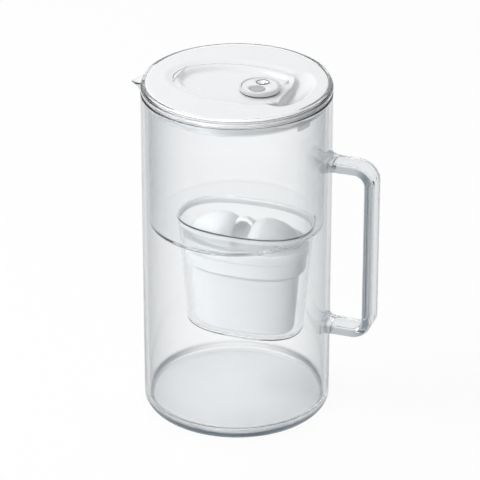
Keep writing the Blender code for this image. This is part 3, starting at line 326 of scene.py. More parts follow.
def makeGranules():
    made = Finish("filterGranules", {"IOR": 1.5})
    beads = made.node("ShaderNodeTexVoronoi", None, {"Vector": made.place, "Scale": 1.1}, "Color")
    shell = made.node("ShaderNodeTexVoronoi", None, {"Vector": made.place, "Scale": 1.1}, "Distance")
    pick = made.node("ShaderNodeSeparateColor", None, {"Color": beads}, "Red")
    made.set("Base Color", made.ramp(
        pick, (0.0, (0.02, 0.02, 0.022)), (0.42, (0.05, 0.05, 0.05)), (0.5, (0.62, 0.50, 0.30)),
        (1.0, (0.80, 0.72, 0.52)),
    ))
    made.set("Roughness", 0.55 + pick * 0.3)
    made.bump(1.0 - shell, 0.5)
    return made.material


def makeScreen():
    made = Finish("screenWeave", {"IOR": 1.5, "Sheen Weight": 0.2})
    warp = made.node("ShaderNodeTexWave", {"bands_direction": "X"}, {"Vector": made.place, "Scale": 0.9})
    weft = made.node("ShaderNodeTexWave", {"bands_direction": "Y"}, {"Vector": made.place, "Scale": 0.9})
    weave = warp * weft
    made.set("Base Color", made.blend(weave, (0.45, 0.46, 0.47, 1.0), (0.82, 0.83, 0.83, 1.0)))
    made.set("Roughness", 0.6 + made.grain(0.5) * 0.2)
    made.bump(weave, 0.15)
    return made.material


# Here too the edge colours are painted shade towards grazing angles, partly real absorption.
handleLook = {"body": (0.84, 0.86, 0.875), "edge": (0.03, 0.04, 0.05), "edgeShadePower": 3.2, "ior": 1.47}
gasketLook = {"body": (0.97, 0.975, 0.98), "edge": (0.70, 0.72, 0.74), "edgeShadePower": 2.0, "ior": 1.41}
caseLook = {"body": (0.97, 0.975, 0.98), "edge": (0.72, 0.73, 0.74), "edgeShadePower": 2.2, "ior": 1.36}

jugGlass = makeClear("jugGlass", glassLook, 0.012, 0.02, heel=heelShadeLook)
groundGlass = makeGroundGlass()
# the edge of the well is polished less, so it doesn't pipe light away into the floor
mouthSatin = makeMilky("mouthSatin", 0.2, 0.35, 0.90)
caseMilk = makeMilky("caseMilk", 0.3, 0.12, 0.84)
handleGlass = makeClear("handleGlass", handleLook, 0.012, 0.02, sideShadeLook)
reservoirClear = makeClear("reservoirClear", clearLook, 0.03, 0.015)
gasketClear = makeClear("gasketClear", gasketLook, 0.25, 0.02)
caseClear = makeClear("caseClear", caseLook, 0.08, 0.01)
lidWhite = makeWhiteGloss()
filterWhite = makeFilterWhite()
brightSteel = makeSteel()
sealRubber = makeRubber()
buttonGrey = makeGreyGloss("buttonGrey", 0.40)
ringGrey = makeGreyGloss("ringGrey", 0.07)
print("finishes made")


def circle(radius, z, count, centre=(0.0, 0.0)):
    turns = [math.tau * step / count for step in range(count)]
    return [(centre[0] + radius * math.cos(t), centre[1] + radius * math.sin(t), z) for t in turns]


def soften(corners, steps=4, closed=False):
    # corners are (across, up, radius): each one is rounded by its radius
    line = []
    for i, (across, up, radius) in enumerate(corners):
        corner = Vector((across, up))
        inner = closed or 0 < i < len(corners) - 1
        if radius <= 0.0 or not inner:
            line.append((across, up))
            continue
        before = Vector(corners[i - 1][:2]) - corner
        after = Vector(corners[(i + 1) % len(corners)][:2]) - corner
        half = before.angle(after) / 2
        cutBack = min(radius / math.tan(half), 0.49 * before.length, 0.49 * after.length)
        start = corner + before.normalized() * cutBack
        end = corner + after.normalized() * cutBack
        for step in range(steps + 1):
            s = step / steps
            # the sine makes the curve a true arc
            a, b, c = (1 - s) ** 2, 2 * s * (1 - s) * math.sin(half), s * s
            point = (start * a + corner * b + end * c) / (a + b + c)
            line.append((point.x, point.y))
    return line


def skin(rings, loop=False, caps=True):
    # rings of equal length, joined in order; loop joins the last to the first, or else both are capped
    bm = bmesh.new()
    rows = [[bm.verts.new(Vector(point) * mm) for point in ring] for ring in rings]
    count = len(rows[0])
    pairs = list(zip(rows, rows[1:])) + ([(rows[-1], rows[0])] if loop else [])
    for near, far in pairs:
        for i in range(count):
            bm.faces.new((near[i - 1], near[i], far[i], far[i - 1]))
    if caps and not loop:
        bm.faces.new(rows[0])
        bm.faces.new(rows[-1])
    return bm


def place(name, bm, material, body, stands=(), slot=None, sharp=38.0):
    bmesh.ops.remove_doubles(bm, verts=bm.verts, dist=0.0005 * mm)
    bmesh.ops.recalc_face_normals(bm, faces=bm.faces)
    mesh = bpy.data.meshes.new(name)
    bm.to_mesh(mesh)
    bm.free()
    mesh.shade_smooth()
    mesh.set_sharp_from_angle(angle=math.radians(sharp))
    mesh.materials.append(material)
    piece = bpy.data.objects.new(name, mesh)
    bpy.context.scene.collection.objects.link(piece)
    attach(piece, body)
    if stands:
        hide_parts(*stands)
    return piece


def addTo(bm, rings, loop=False):
    # one more closed skin in the same mesh
    extra = skin(rings, loop)
    mesh = bpy.data.meshes.new("extra")
    extra.to_mesh(mesh)
    extra.free()
    bm.from_mesh(mesh)
    bpy.data.meshes.remove(mesh)


def cutOut(piece, tools):
    # tools are bmeshes, taken out of the piece for good
    for bm in tools:
        bmesh.ops.recalc_face_normals(bm, faces=bm.faces)
        mesh = bpy.data.meshes.new("tool")
        bm.to_mesh(mesh)
        bm.free()
        tool = bpy.data.objects.new("tool", mesh)
        bpy.context.scene.collection.objects.link(tool)
        step = piece.modifiers.new("cut", "BOOLEAN")
        step.operation, step.solver, step.object = "DIFFERENCE", "EXACT", tool
        done = bpy.data.meshes.new_from_object(piece.evaluated_get(bpy.context.evaluated_depsgraph_get()))
        piece.modifiers.clear()
        piece.data = done
        bpy.data.objects.remove(tool)


def boxMesh(low, high):
    corners = [(low[0], low[1]), (high[0], low[1]), (high[0], high[1]), (low[0], high[1])]
    return skin([[(x, y, z) for x, y in corners] for z in (low[2], high[2])])


def lathe(corners, count, centre=(0.0, 0.0), steps=4, loop=True):
    line = soften(corners, steps, closed=loop)
    return [circle(radius, z, count, centre) for radius, z in line]


def smooth(share):
    share = min(max(share, 0.0), 1.0)
    return share * share * (3.0 - 2.0 * share)


jug = {
    "radius": 73.0, "wall": 3.0, "base": 7.0, "height": 265.0, "heel": 8.0, "innerHeel": 6.0,
    "rim": 1.45, "rimRoom": 2.5, "centre": 0.2, "lipReach": 13.0, "lipDrop": 5.0, "lipHeight": 24.0,
    "lipHalfAngle": math.radians(13.0), "rowGap": 1.5, "around": 288,
}


def pulledLip(point):
    x, y, z = point
    angle = math.atan2(y, -x)
    if abs(angle) >= jug["lipHalfAngle"]:
        return point
    around = math.cos(math.pi / 2 * angle / jug["lipHalfAngle"]) ** 2
    up = min(max((z - jug["height"] + jug["lipHeight"]) / jug["lipHeight"], 0.0), 1.0)
    return (x - jug["lipReach"] * around * up**2, y, z - jug["lipDrop"] * around * up**3)


def makeJug():
    inside = jug["radius"] - jug["wall"]
    top, lipStart = jug["height"], jug["height"] - jug["lipHeight"]
    outside, rim, rimLow = jug["radius"], jug["rim"], top - jug["rimRoom"]
    centre, base = jug["centre"], jug["base"]
    # close rings, because the lip is pulled from them
    rows = [step * jug["rowGap"] for step in range(1, 15)]
    line = soften([(centre, base, 0.0), (inside, base, jug["innerHeel"]), (inside, lipStart, 0.0)], 8)
    line += [(inside, lipStart + row) for row in rows]
    line += soften([
        (inside, rimLow, 0.0), (inside, top, rim), (outside, top, rim), (outside, rimLow, 0.0),
    ], 6)
    line += [(outside, rimLow - row) for row in rows]
    line += soften([(outside, lipStart, 0.0), (outside, 0.0, jug["heel"]), (centre, 0.0, 0.0)], 10)
    rings = [[pulledLip(p) for p in circle(radius, z, jug["around"])] for radius, z in line]
    piece = place("glassJug", skin(rings), jugGlass, "jug", ["glass_jug"], "jug_glass")
    piece.data.materials.append(groundGlass)
    for face in piece.data.polygons:  # the ground face that the jug stands on
        if face.center.z < 0.3 * mm:
            face.material_index = 1


makeJug()


handle = {
    "outerX": 112.5, "topZ": 220.0, "lowZ": 74.5, "width": 20.0, "thickness": 7.6, "bend": 16.0,
    "edge": 2.2, "flare": 1.9, "flareLength": 7.0,
}


def makeHandle():
    thin, wide = handle["thickness"] / 2, handle["width"] / 2
    bend = handle["bend"] - thin
    middleX = handle["outerX"] - thin
    high, low = handle["topZ"] - thin, handle["lowZ"] + thin
    stations = []
    for step in range(15):
        out = handle["flareLength"] * step / 14
        near = 1.0 - out / handle["flareLength"]
        stations.append((jug["radius"] + 0.3 + out, high, 90.0, handle["flare"] * near**2))
    for step in range(17):
        angle = 90.0 - 90.0 * step / 16
        turn = math.radians(angle)
        x, z = middleX - bend + bend * math.cos(turn), high - bend + bend * math.sin(turn)
        stations.append((x, z, angle, 0.0))
    stations += [(x, high + low - z, -angle, flare) for x, z, angle, flare in reversed(stations)]
    rings = []
    for x, z, angle, flare in stations:
        outward = Vector((math.cos(math.radians(angle)), 0.0, math.sin(math.radians(angle))))
        ring = []
        u, v = thin + flare, wide + flare
        edge = handle["edge"]
        corners = [(u, v, edge), (-u, v, edge), (-u, -v, edge), (u, -v, edge)]
        for out, side in soften(corners, 5, True):
            ring.append(Vector((x, side, z)) + outward * out)
        rings.append(ring)
    for ring in (rings[0], rings[-1]):  # both ends follow the round wall
        for point in ring:
            point.x = math.sqrt((jug["radius"] + 0.05) ** 2 - point.y**2)
    # no faces at the ends, because the strap is fused to the wall
    place("glassHandle", skin(rings, caps=False), handleGlass, "jug", ["glass_handle"], "jug_glass")


makeHandle()
print("glass made")


reservoir = {
    "radius": 67.2, "wall": 2.0, "floorZ": 157.0, "floor": 2.5, "corner": 6.0, "flangeZ": 266.8,
    "flangeTop": 269.6, "collar": 71.7, "collarInside": 69.4, "collarTop": 272.6, "around": 192,
}
well = {
    "shift": 7.0, "halfLength": 53.5, "halfWidth": 34.0, "low": 65.0, "wall": 1.8, "floor": 2.0,
    "corner": 7.0, "draft": math.tan(math.radians(4.5)), "ovalPower": 2.4, "outlet": (17.0, 8.0),
    "mouthUnder": 1.0, "mouthTop": 2.8,
}
spoutNotch = {"halfWidth": 11.0, "low": 266.0, "high": 270.4}


def wellRing(inset, z, count, halfLength=None, halfWidth=None):
    narrow = (reservoir["floorZ"] - z) * well["draft"] + inset
    long = well["halfLength"] - narrow if halfLength is None else halfLength
    wide = well["halfWidth"] - narrow if halfWidth is None else halfWidth
    ring = []
    for step in range(count):
        t = math.tau * step / count
        c, s = math.cos(t), math.sin(t)
        x = math.copysign(abs(c) ** (2 / well["ovalPower"]), c) * long
        y = math.copysign(abs(s) ** (2 / well["ovalPower"]), s) * wide
        ring.append((well["shift"] + x, y, z))
    return ring


def held(ring, limit):
    # no point of the ring lies further from the pitcher's axis than the limit
    shares = [min(1.0, limit / math.hypot(x, y)) for x, y, z in ring]
    return [(x * share, y * share, z) for (x, y, z), share in zip(ring, shares)]


def makeReservoir():
    r, count = reservoir, reservoir["around"]
    floorTop = r["floorZ"] + r["floor"]
    inside = r["radius"] - r["wall"]
    low, bottom, thin = well["low"], well["low"] + well["floor"], well["wall"]
    rings = [wellRing(0, low, count, *well["outlet"])]
    outer = soften([(12.0, low, 0.0), (0.0, low, well["corner"]), (0.0, r["floorZ"] - 4, 0.0)], 8)
    rings += [wellRing(inset, z, count) for inset, z in outer]
    mouth = soften([
        (0.0, r["floorZ"] - 3.9, 0.0), (0.0, r["floorZ"], well["mouthUnder"]), (-2.6, r["floorZ"], 0.0),
    ], 6)
    rings += [held(wellRing(inset, z, count), r["radius"] - r["corner"] - 0.1) for inset, z in mouth]
    wall = [
        (r["radius"] - r["corner"], r["floorZ"], 0.0), (r["radius"], r["floorZ"], r["corner"]),
        (r["radius"], r["flangeZ"], 0.5), (jug["radius"], r["flangeZ"], 0.6),
        (jug["radius"], r["flangeTop"], 0.8), (r["collar"], r["flangeTop"], 0.3),
        (r["collar"], r["collarTop"], 0.7), (r["collarInside"], r["collarTop"], 0.6),
        (r["collarInside"], r["flangeTop"], 0.3), (inside, r["flangeTop"], 0.9),
        (inside, floorTop, r["corner"] - r["wall"]), (inside - 4.2, floorTop, 0.0),
    ]
    rings += [circle(radius, z, count) for radius, z in soften(wall, 6)]
    inner = soften([
        (thin - 4.4, floorTop, 0.0), (thin, floorTop, well["mouthTop"]), (thin, floorTop - 9, 0.0),
    ], 8)
    rings += [held(wellRing(inset, z, count), inside - 4.3) for inset, z in inner]
    foot = soften([(thin, bottom + 9, 0.0), (thin, bottom, well["corner"] - thin), (12.0, bottom, 0.0)], 7)
    rings += [wellRing(inset, z, count) for inset, z in foot]
    rings.append(wellRing(0, bottom, count, *well["outlet"]))
    bm = skin(rings, loop=True)
    piece = place("reservoir", bm, reservoirClear, "reservoir", ["funnel"], "clear_plastic")
    low, high, half = spoutNotch["low"], spoutNotch["high"], spoutNotch["halfWidth"]
    cutOut(piece, [boxMesh((-90.0, -half, low), (-r["radius"] - 0.3, half, high))])
    piece.data.materials.append(mouthSatin)
    for face in piece.data.polygons:  # the rounded edge of the well's mouth
        x, y, z = face.center / mm
        inward = math.hypot(x, y) < r["radius"] - r["corner"] - 0.2 and abs(face.normal.z) < 0.985
        if inward and floorTop - 5.0 < z < floorTop - 0.01:
            face.material_index = 1


gasket = {
    "inside": 67.5, "rim": 72.4, "wall": 69.2, "bead": 69.65, "foot": 68.7, "around": 192,
    "top": 1.5, "under": 0.3, "beadTop": 3.0, "beadAt": 3.5, "beadLow": 4.0, "low": 7.0,
}


def makeGasket():
    g, z = gasket, jug["height"]
    corners = [
        (g["inside"], z + g["top"], 0.2), (g["rim"], z + g["top"], 0.4), (g["rim"], z + g["under"], 0.3),
        (g["wall"], z + g["under"], 0.2), (g["wall"], z - g["beadTop"], 0.1),
        (g["bead"], z - g["beadAt"], 0.3), (g["wall"], z - g["beadLow"], 0.1),
        (g["foot"], z - g["low"], 0.3), (g["inside"], z - g["low"], 0.2),
    ]
    bm = skin(lathe(corners, g["around"], steps=3), loop=True)
    piece = place("rimGasket", bm, gasketClear, "reservoir", ["rim_gasket"], "silicone")
    half = spoutNotch["halfWidth"]
    cutOut(piece, [boxMesh((-90.0, -half, 250.0), (-62.0, half, 275.0))])


makeReservoir()
makeGasket()
print("reservoir made")


leaf = {
    "x": 3.0, "back": 53.0, "halfWidth": 34.0, "run": 34.5, "bend": 4.5, "bendAt": 32.0, "corner": 16.0,
    "rim": 271.0, "dish": 3.6, "level": 2.5, "slope": 6.0, "around": 288,
}


def fullReach(c, s, grow=0.0, tipRoom=0.0):
    back = leaf["back"] + grow + (tipRoom if c < 0 else 0.0)
    return 1.0 / math.hypot(c / back, s / (leaf["halfWidth"] + grow))


def leafReach(t, grow=0.0, tipRoom=0.0):
    c, s = math.cos(t), math.sin(t)
    reach = fullReach(c, s, grow, tipRoom)
    bend = leaf["bend"] * (s / leaf["bendAt"]) ** 2
    root = c * c - 4.0 * bend * (leaf["run"] + grow)
    if c > 0.0 and root > 0.0:
        crease = 2.0 * (leaf["run"] + grow) / (c + math.sqrt(root))
        reach = (reach ** -leaf["corner"] + crease ** -leaf["corner"]) ** (-1.0 / leaf["corner"])
    return reach


def leafPoint(t, reach):
    return leaf["x"] + reach * math.cos(t), reach * math.sin(t)


def dishTop(x, y):
    # the flap's face: level near its outline, then down to the floor
    reach = math.hypot(x - leaf["x"], y)
    if reach < 1e-6:
        return leaf["rim"] - leaf["dish"]
    inset = fullReach((x - leaf["x"]) / reach, y / reach) - reach
    return leaf["rim"] - leaf["dish"] * smooth((inset - leaf["level"]) / leaf["slope"])


leafTurns = [math.tau * step / leaf["around"] for step in range(leaf["around"])]


lid = {
    "radius": 69.1, "top": 272.2, "under": 269.9, "edge": 0.7, "skirt": 64.6, "skirtInside": 62.8,
    "skirtLow": 258.0, "shoulder": 7.0, "drop": 1.2, "gap": 0.09, "tipRoom": 0.3, "chuteLow": 259.0,
    "chuteEnd": 32.0, "wall": 1.6, "ledge": 2.4, "seat": 1.8, "lipInset": 0.8, "tray": 2.3,
    "lugLow": 252.0, "lugWidth": 13.0, "lugAngle": 20.0,
}
scoop = {"x": 42.0, "halfLength": 17.5, "halfWidth": 33.5, "depth": 11.6, "softness": 1.1}
hinge = {
    "x": -46.3, "z": 270.8, "radius": 1.35, "bossTop": 0.2, "bossFoot": 3.7, "bossNear": 12.5,
    "bossFar": 16.4,
}


def scoopDepth(x, y):
    far = ((x - scoop["x"]) / scoop["halfLength"]) ** 2 + (y / scoop["halfWidth"]) ** 2
    return scoop["depth"] * max(0.0, 1.0 - far) ** scoop["softness"]


def toCircle(t, radius):
    # how far the circle about the pitcher's axis lies from the leaf's middle
    c = math.cos(t)
    return -leaf["x"] * c + math.sqrt((leaf["x"] * c) ** 2 + radius * radius - leaf["x"] ** 2)


def makeLid():
    top, gap, room = lid["top"], lid["gap"], lid["tipRoom"]
    rimRadius = lid["radius"] - lid["edge"]

    def lidRing(reachOf, heightOf):
        ring = []
        for t in leafTurns:
            x, y = leafPoint(t, reachOf(t))
            ring.append((x, y, heightOf(t, x, y)))
        return ring

    def clipped(t, grow, endX):
        reach = leafReach(t, grow)
        c = math.cos(t)
        return min(reach, (endX - leaf["x"]) / c) if c > 0 else reach

    def topAt(share):
        # share 0 at the flap's gap, 1 at the shoulder's outer line
        grow = gap + (lid["shoulder"] - gap) * share
        fall = lid["drop"] * (1.0 - smooth(share))
        return lidRing(
            lambda t: leafReach(t, grow, room), lambda t, x, y: top - fall - scoopDepth(x, y)
        )

    def between(grow, radius, share, heightOf):
        # from a line round the flap, at share 0, to a circle
        return lidRing(
            lambda t: leafReach(t, grow, room) * (1 - share) + toCircle(t, radius) * share, heightOf
        )

    def ledge(t, *at):
        # the flap's seat, whose height follows its outline only
        x, y = leafPoint(t, leafReach(t))
        return dishTop(x, y) - lid["seat"]

    def lipLevel(t, x, y):
        return min(top - lid["drop"] - scoopDepth(x, y), ledge(t))

    def chuteFoot(t, x, y):
        return lid["chuteLow"]

    def underside(t, x, y):
        return min(lid["under"], top - scoopDepth(x, y) - lid["wall"])

    def trayUnder(t, x, y):
        return max(lid["chuteLow"] + 0.1, min(underside(t, x, y), ledge(t) - lid["wall"]))

    edge = soften([
        (lid["radius"], lid["under"], 0.0), (lid["radius"], top, lid["edge"]), (rimRadius - 1.0, top, 0.0),
    ], 5)
    rings = [lidRing(lambda t, r=r: toCircle(t, r), lambda t, x, y, z=z: z) for r, z in edge]
    for step in range(1, 26):
        share = 1.0 - step / 26
        rings.append(between(
            lid["shoulder"], rimRadius - 1.0, share, lambda t, x, y: top - scoopDepth(x, y)
        ))
    rings += [topAt(1.0 - step / 12) for step in range(13)]
    rings.append(lidRing(lambda t: leafReach(t, gap - 0.03, room), lipLevel))

    chuteEnd, chuteBack = lid["chuteEnd"], lid["chuteEnd"] + lid["wall"]
    rings.append(lidRing(lambda t: clipped(t, -lid["lipInset"], chuteBack), lipLevel))
    rings.append(lidRing(lambda t: clipped(t, -0.85, chuteBack - 0.1), ledge))
    rings.append(lidRing(lambda t: clipped(t, -lid["ledge"], chuteEnd), ledge))
    rings.append(lidRing(lambda t: clipped(t, -lid["ledge"], chuteEnd), chuteFoot))
    rings.append(lidRing(lambda t: clipped(t, -lid["lipInset"], chuteBack), chuteFoot))
    rings.append(lidRing(lambda t: clipped(t, -0.75, chuteBack + 0.1), trayUnder))
    rings.append(lidRing(lambda t: leafReach(t, 2.0, room), trayUnder))
    rings.append(lidRing(lambda t: leafReach(t, lid["tray"], room), underside))
    inner, plate, foot = lid["skirtInside"], lid["under"], lid["skirtLow"]
    rings += [between(lid["tray"], inner - 0.5, step / 13, underside) for step in range(1, 13)]
    skirt = soften([
        (inner - 0.5, plate, 0.0), (inner, plate, 0.2), (inner, foot, 0.5), (lid["skirt"], foot, 0.5),
        (lid["skirt"], plate, 0.3), (lid["radius"], plate, 0.0),
    ], 4)
    rings += [lidRing(lambda t, r=r: toCircle(t, r), lambda t, x, y, z=z: z) for r, z in skirt[:-1]]
    bm = skin(rings, loop=True)
    for side in (-1, 1):  # the two lugs below the skirt
        middle = math.radians(lid["lugAngle"]) * side
        half = lid["lugWidth"] / 2 / lid["skirt"]
        near, far, low, high = lid["skirtInside"] + 0.1, lid["skirt"] - 0.3, lid["lugLow"], lid["under"] - 3
        section = soften([(near, low, 0.5), (far, low, 0.5), (far, high, 0.0), (near, high, 0.0)], 3, True)
        turns = [middle + half * (step / 6 - 1.0) for step in range(13)]
        addTo(bm, [[(r * math.cos(t), r * math.sin(t), z) for r, z in section] for t in turns])
    radius = hinge["radius"]
    turns = [math.pi * step / 10 for step in range(11)]
    boss = [(radius * math.cos(t), min(radius * math.sin(t), hinge["bossTop"])) for t in turns]
    boss += [(-radius, -hinge["bossFoot"]), (radius, -hinge["bossFoot"])]
    boss = [(hinge["x"] + x, hinge["z"] + z) for x, z in boss]
    for side in (-1, 1):
        ends = side * hinge["bossNear"], side * hinge["bossFar"]
        addTo(bm, [[(x, y, z) for x, z in boss] for y in ends])
    place("lidShell", bm, lidWhite, "lid", ["lid"], "white_plastic", 42.0)


makeLid()
print("lid made")


flap = {
    "thickness": 1.5, "edge": 1.0, "face": 1.2, "hole": 12.3, "holeX": 18.5, "knuckleHalf": 11.5,
    "cutNear": 12.1, "cutFar": 30.0, "cutRoom": 1.6,
}


def makeFlap():
    def rim(inset, drop):
        ring = []
        for t in leafTurns:
            x, y = leafPoint(t, leafReach(t, -inset))
            ring.append((x, y, dishTop(x, y) - drop))
        return ring

    def inward(share, drop):
        ring = []
        for t in leafTurns:
            x, y = leafPoint(t, leafReach(t, -flap["face"]))
            holeX, holeY = flap["holeX"] + flap["hole"] * math.cos(t), flap["hole"] * math.sin(t)
            x, y = x + (holeX - x) * share, y + (holeY - y) * share
            ring.append((x, y, dishTop(x, y) - drop))
        return ring

    edge, thick = flap["edge"], flap["thickness"]
    rings = []
    for step in range(8):
        a = math.pi / 2 * step / 7
        rings.append(rim(edge * (1 - math.cos(a)), edge * (1 - math.sin(a))))
    spread = [step / 40 for step in range(41)]
    rings += [inward(share, 0.0) for share in spread]
    rings += [inward(share, thick) for share in reversed(spread)]
    rings += [rim(0.35, thick), rim(0.0, thick - 0.3)]
    bm = skin(rings, loop=True)
    piece = place("flapLeaf", bm, lidWhite, "flap", ["flap"], "white_plastic", 50.0)
    # room for the lid's two bosses
    near, far, back = flap["cutNear"], flap["cutFar"], hinge["x"] + flap["cutRoom"]
    cutOut(piece, [
        boxMesh((-60.0, first, 262.0), (back, last, 280.0)) for first, last in ((-far, -near), (near, far))
    ])
    knuckle = []
    end = flap["knuckleHalf"]
    for y, shrink in ((-end, 0.3), (0.3 - end, 0.0), (end - 0.3, 0.0), (end, 0.3)):
        radius = hinge["radius"] - shrink
        ring = []
        for t in [math.tau * step / 32 for step in range(32)]:
            x, up = radius * math.cos(t), min(-0.1, radius * math.sin(t))
            ring.append((hinge["x"] + x, y, hinge["z"] + up))
        knuckle.append(ring)
    place("flapKnuckle", skin(knuckle), lidWhite, "flap", (), "white_plastic")


makeFlap()
print("flap made")


indicator = {
    "x": 18.5, "radius": 15.5, "top": 271.8, "low": 268.5, "floor": 269.1, "inside": 13.9, "tube": 12.0,
    "tubeInside": 10.9, "caseLow": 256.5, "shelf": 1.2, "shelfTop": 265.1, "shelfLow": 263.8,
    "groove": 11.5, "grooveTop": 258.3, "grooveLow": 257.1, "bead": 12.6, "beadTop": 265.6,
    "beadAt": 265.0, "beadLow": 264.4, "coverRadius": 13.6, "coverLow": 269.4, "coverTop": 271.4,
    "button": 5.6, "buttonY": -6.2, "buttonTop": 271.7, "buttonFoot": 270.25, "window": 4.5,
    "windowY": 6.4, "windowLow": 270.5, "lampHole": 0.96, "lampX": 2.0, "ringInside": 4.55,
    "ringOutside": 5.1, "ringLow": 271.3, "ringTop": 271.56,
    "buttonDish": [(0.15, 271.55), (2.0, 271.52), (4.0, 271.6)],
    "buttonStem": [(6.3, 270.25), (6.3, 269.75), (1.2, 269.75), (1.2, 268.15), (0.15, 268.15)],
}


def makeIndicator():
    d = indicator
    centre = (d["x"], 0.0)
    bore = d["tubeInside"]
    shelf = bore - d["shelf"]
    case = [
        (d["radius"], d["low"], 0.3), (d["radius"], d["top"], 0.8), (d["inside"], d["top"], 0.5),
        (d["inside"], d["floor"], 0.2), (bore, d["floor"], 0.2), (bore, d["shelfTop"], 0.1),
        (shelf, d["shelfTop"], 0.1), (shelf, d["shelfLow"], 0.1), (bore, d["shelfLow"], 0.1),
        (bore, d["grooveTop"], 0.0), (d["groove"], d["grooveTop"], 0.0), (d["groove"], d["grooveLow"], 0.0),
        (bore, d["grooveLow"], 0.0), (bore, d["caseLow"], 0.3), (d["tube"], d["caseLow"], 0.3),
        (d["tube"], d["beadLow"], 0.1), (d["bead"], d["beadAt"], 0.2), (d["tube"], d["beadTop"], 0.1),
        (d["tube"], d["low"], 0.2),
    ]
    bm = skin(lathe(case, 128, centre), loop=True)
    place("indicatorCase", bm, caseMilk, "flap", ["indicator_housing"], "frosted_plastic")

    edge, top = d["coverRadius"], d["coverTop"]
    cover = soften([
        (0.2, top, 0.0), (edge - 1.6, top, 0.2), (edge - 1.3, top - 0.25, 0.1), (edge - 0.9, top, 0.2),
        (edge, top, 0.4), (edge, d["coverLow"], 0.2), (0.2, d["coverLow"], 0.0),
    ], 4)
    bm = skin([circle(r, z, 96, centre) for r, z in cover])
    piece = place("indicatorCover", bm, lidWhite, "flap", ["indicator_cover"], "white_plastic")
    buttonAt, windowAt = (d["x"], d["buttonY"]), (d["x"], d["windowY"])

    def post(radius, low, high, at, count=64):
        return skin([circle(radius, z, count, at) for z in (low, high)])

    cutOut(piece, [
        post(d["button"] + 0.3, 268.0, 273.0, buttonAt), post(d["button"] + 1.0, 268.0, 270.55, buttonAt),
        post(d["window"] + 0.3, d["windowLow"], 273.0, windowAt),
        post(d["lampHole"], 268.0, 270.8, (d["x"] - d["lampX"], d["windowY"]), 20),
        post(d["lampHole"], 268.0, 270.8, (d["x"] + d["lampX"], d["windowY"]), 20),
    ])
    radius, top, foot = d["button"], d["buttonTop"], d["buttonFoot"]
    edge = soften([(4.6, top, 0.0), (radius, top, 0.35), (radius, foot, 0.0)], 4)
    button = d["buttonDish"] + edge + d["buttonStem"]
    bm = skin([circle(r, z, 72, buttonAt) for r, z in button])
    place("timerButton", bm, buttonGrey, "reset_button", ["reset_button"], "button_plastic")
    radius = d["window"]
    window = soften([
        (0.1, 270.8, 0.0), (radius, 270.8, 0.1), (radius, 271.5, 0.25), (radius - 0.7, 271.55, 0.2),
        (0.1, 271.55, 0.0),
    ], 4)
    near, far, low, high = d["ringInside"], d["ringOutside"], d["ringLow"], d["ringTop"]
    ring = soften([(near, low, 0.0), (near, high, 0.08), (far, high, 0.08), (far, low, 0.0)], 2, True)
    bm = skin([circle(r, z, 64, windowAt) for r, z in ring], loop=True)
    place("windowRing", bm, ringGrey, "flap", (), "button_plastic")
    bm = skin([circle(r, z, 64, windowAt) for r, z in window])
    place("lampWindow", bm, caseClear, "flap", ["led_window"], "clear_plastic")


makeIndicator()
print("indicator made")


cup = {
    "low": 67.3, "top": 134.0, "body": 7.3, "collar": 3.0, "collarHeight": 12.0, "wall": 1.6,
    "corner": 4.0, "around": 160, "holes": 5, "hole": 2.0, "holePitch": 7.5,
}
cap = {
    "low": 134.3, "deck": 143.0, "inset": 2.2, "wall": 1.6, "mound": 6.7, "moundLength": 45.5,
    "moundWidth": 26.0, "lobe": 17.2, "lobeSpacing": 34.0, "lobeLength": 15.5, "lobeWidth": 19.5,
    "spread": 1.75, "melt": 6.0, "gripZ": 150.5, "grip": 9.0, "gripHalf": 3.0, "gripThin": 1.25,
    "finger": 6.5, "around": 192,
}


def makeCup():
    count = cup["around"]
    shoulder = cup["top"] - cup["collarHeight"]
    slope = cup["body"] - cup["collar"]
    w, body, collar, low = cup["wall"], cup["body"], cup["collar"], cup["low"]
    line = soften([
        (body + 14, low, 0.0), (body, low, cup["corner"]), (body, shoulder - slope, 1.5),
        (collar, shoulder, 1.2), (collar, cup["top"], 0.5), (collar + w, cup["top"], 0.5),
        (collar + w, shoulder, 1.0), (body + w, shoulder - slope, 1.5),
        (body + w, low + w, cup["corner"] - w), (body + 14, low + w, 0.0),
    ], 5)
    bm = skin([wellRing(inset, z, count) for inset, z in line])
    piece = place("cartridgeCup", bm, filterWhite, "cartridge", ["cartridge_cup"], "filter_plastic", 45.0)
    tools = []
    for hole in range(cup["holes"]):
        x = well["shift"] + (hole - (cup["holes"] - 1) / 2) * cup["holePitch"]
        tools.append(skin([circle(cup["hole"], z, 24, (x, 0.0)) for z in (60.0, 72.0)]))
    cutOut(piece, tools)


def capHeight(x, y):
    # mound and two lobes, melted together, with the finger's trench across
    def bulge(cx, length, width, height, outward=0):
        if (x - cx) * outward > 0:
            length *= cap["spread"]
        far = ((x - cx) / length) ** 2 + (y / width) ** 2
        return height * math.sqrt(max(0.0, 1.0 - far))

    shift, half = well["shift"], cap["lobeSpacing"] / 2
    parts = [
        bulge(shift, cap["moundLength"], cap["moundWidth"], cap["mound"]),
        bulge(shift - half, cap["lobeLength"], cap["lobeWidth"], cap["lobe"], -1),
        bulge(shift + half, cap["lobeLength"], cap["lobeWidth"], cap["lobe"], 1),
    ]
    rise = sum(max(part, 1e-3) ** cap["melt"] for part in parts) ** (1.0 / cap["melt"])
    z = max(cap["deck"] - 0.8 + rise, cap["deck"])
    across = abs(x - shift)
    if across < cap["finger"]:
        z = min(z, cap["gripZ"] - math.sqrt(cap["finger"] ** 2 - across**2))
        z = max(z, cap["deck"] + 0.9)
    return z


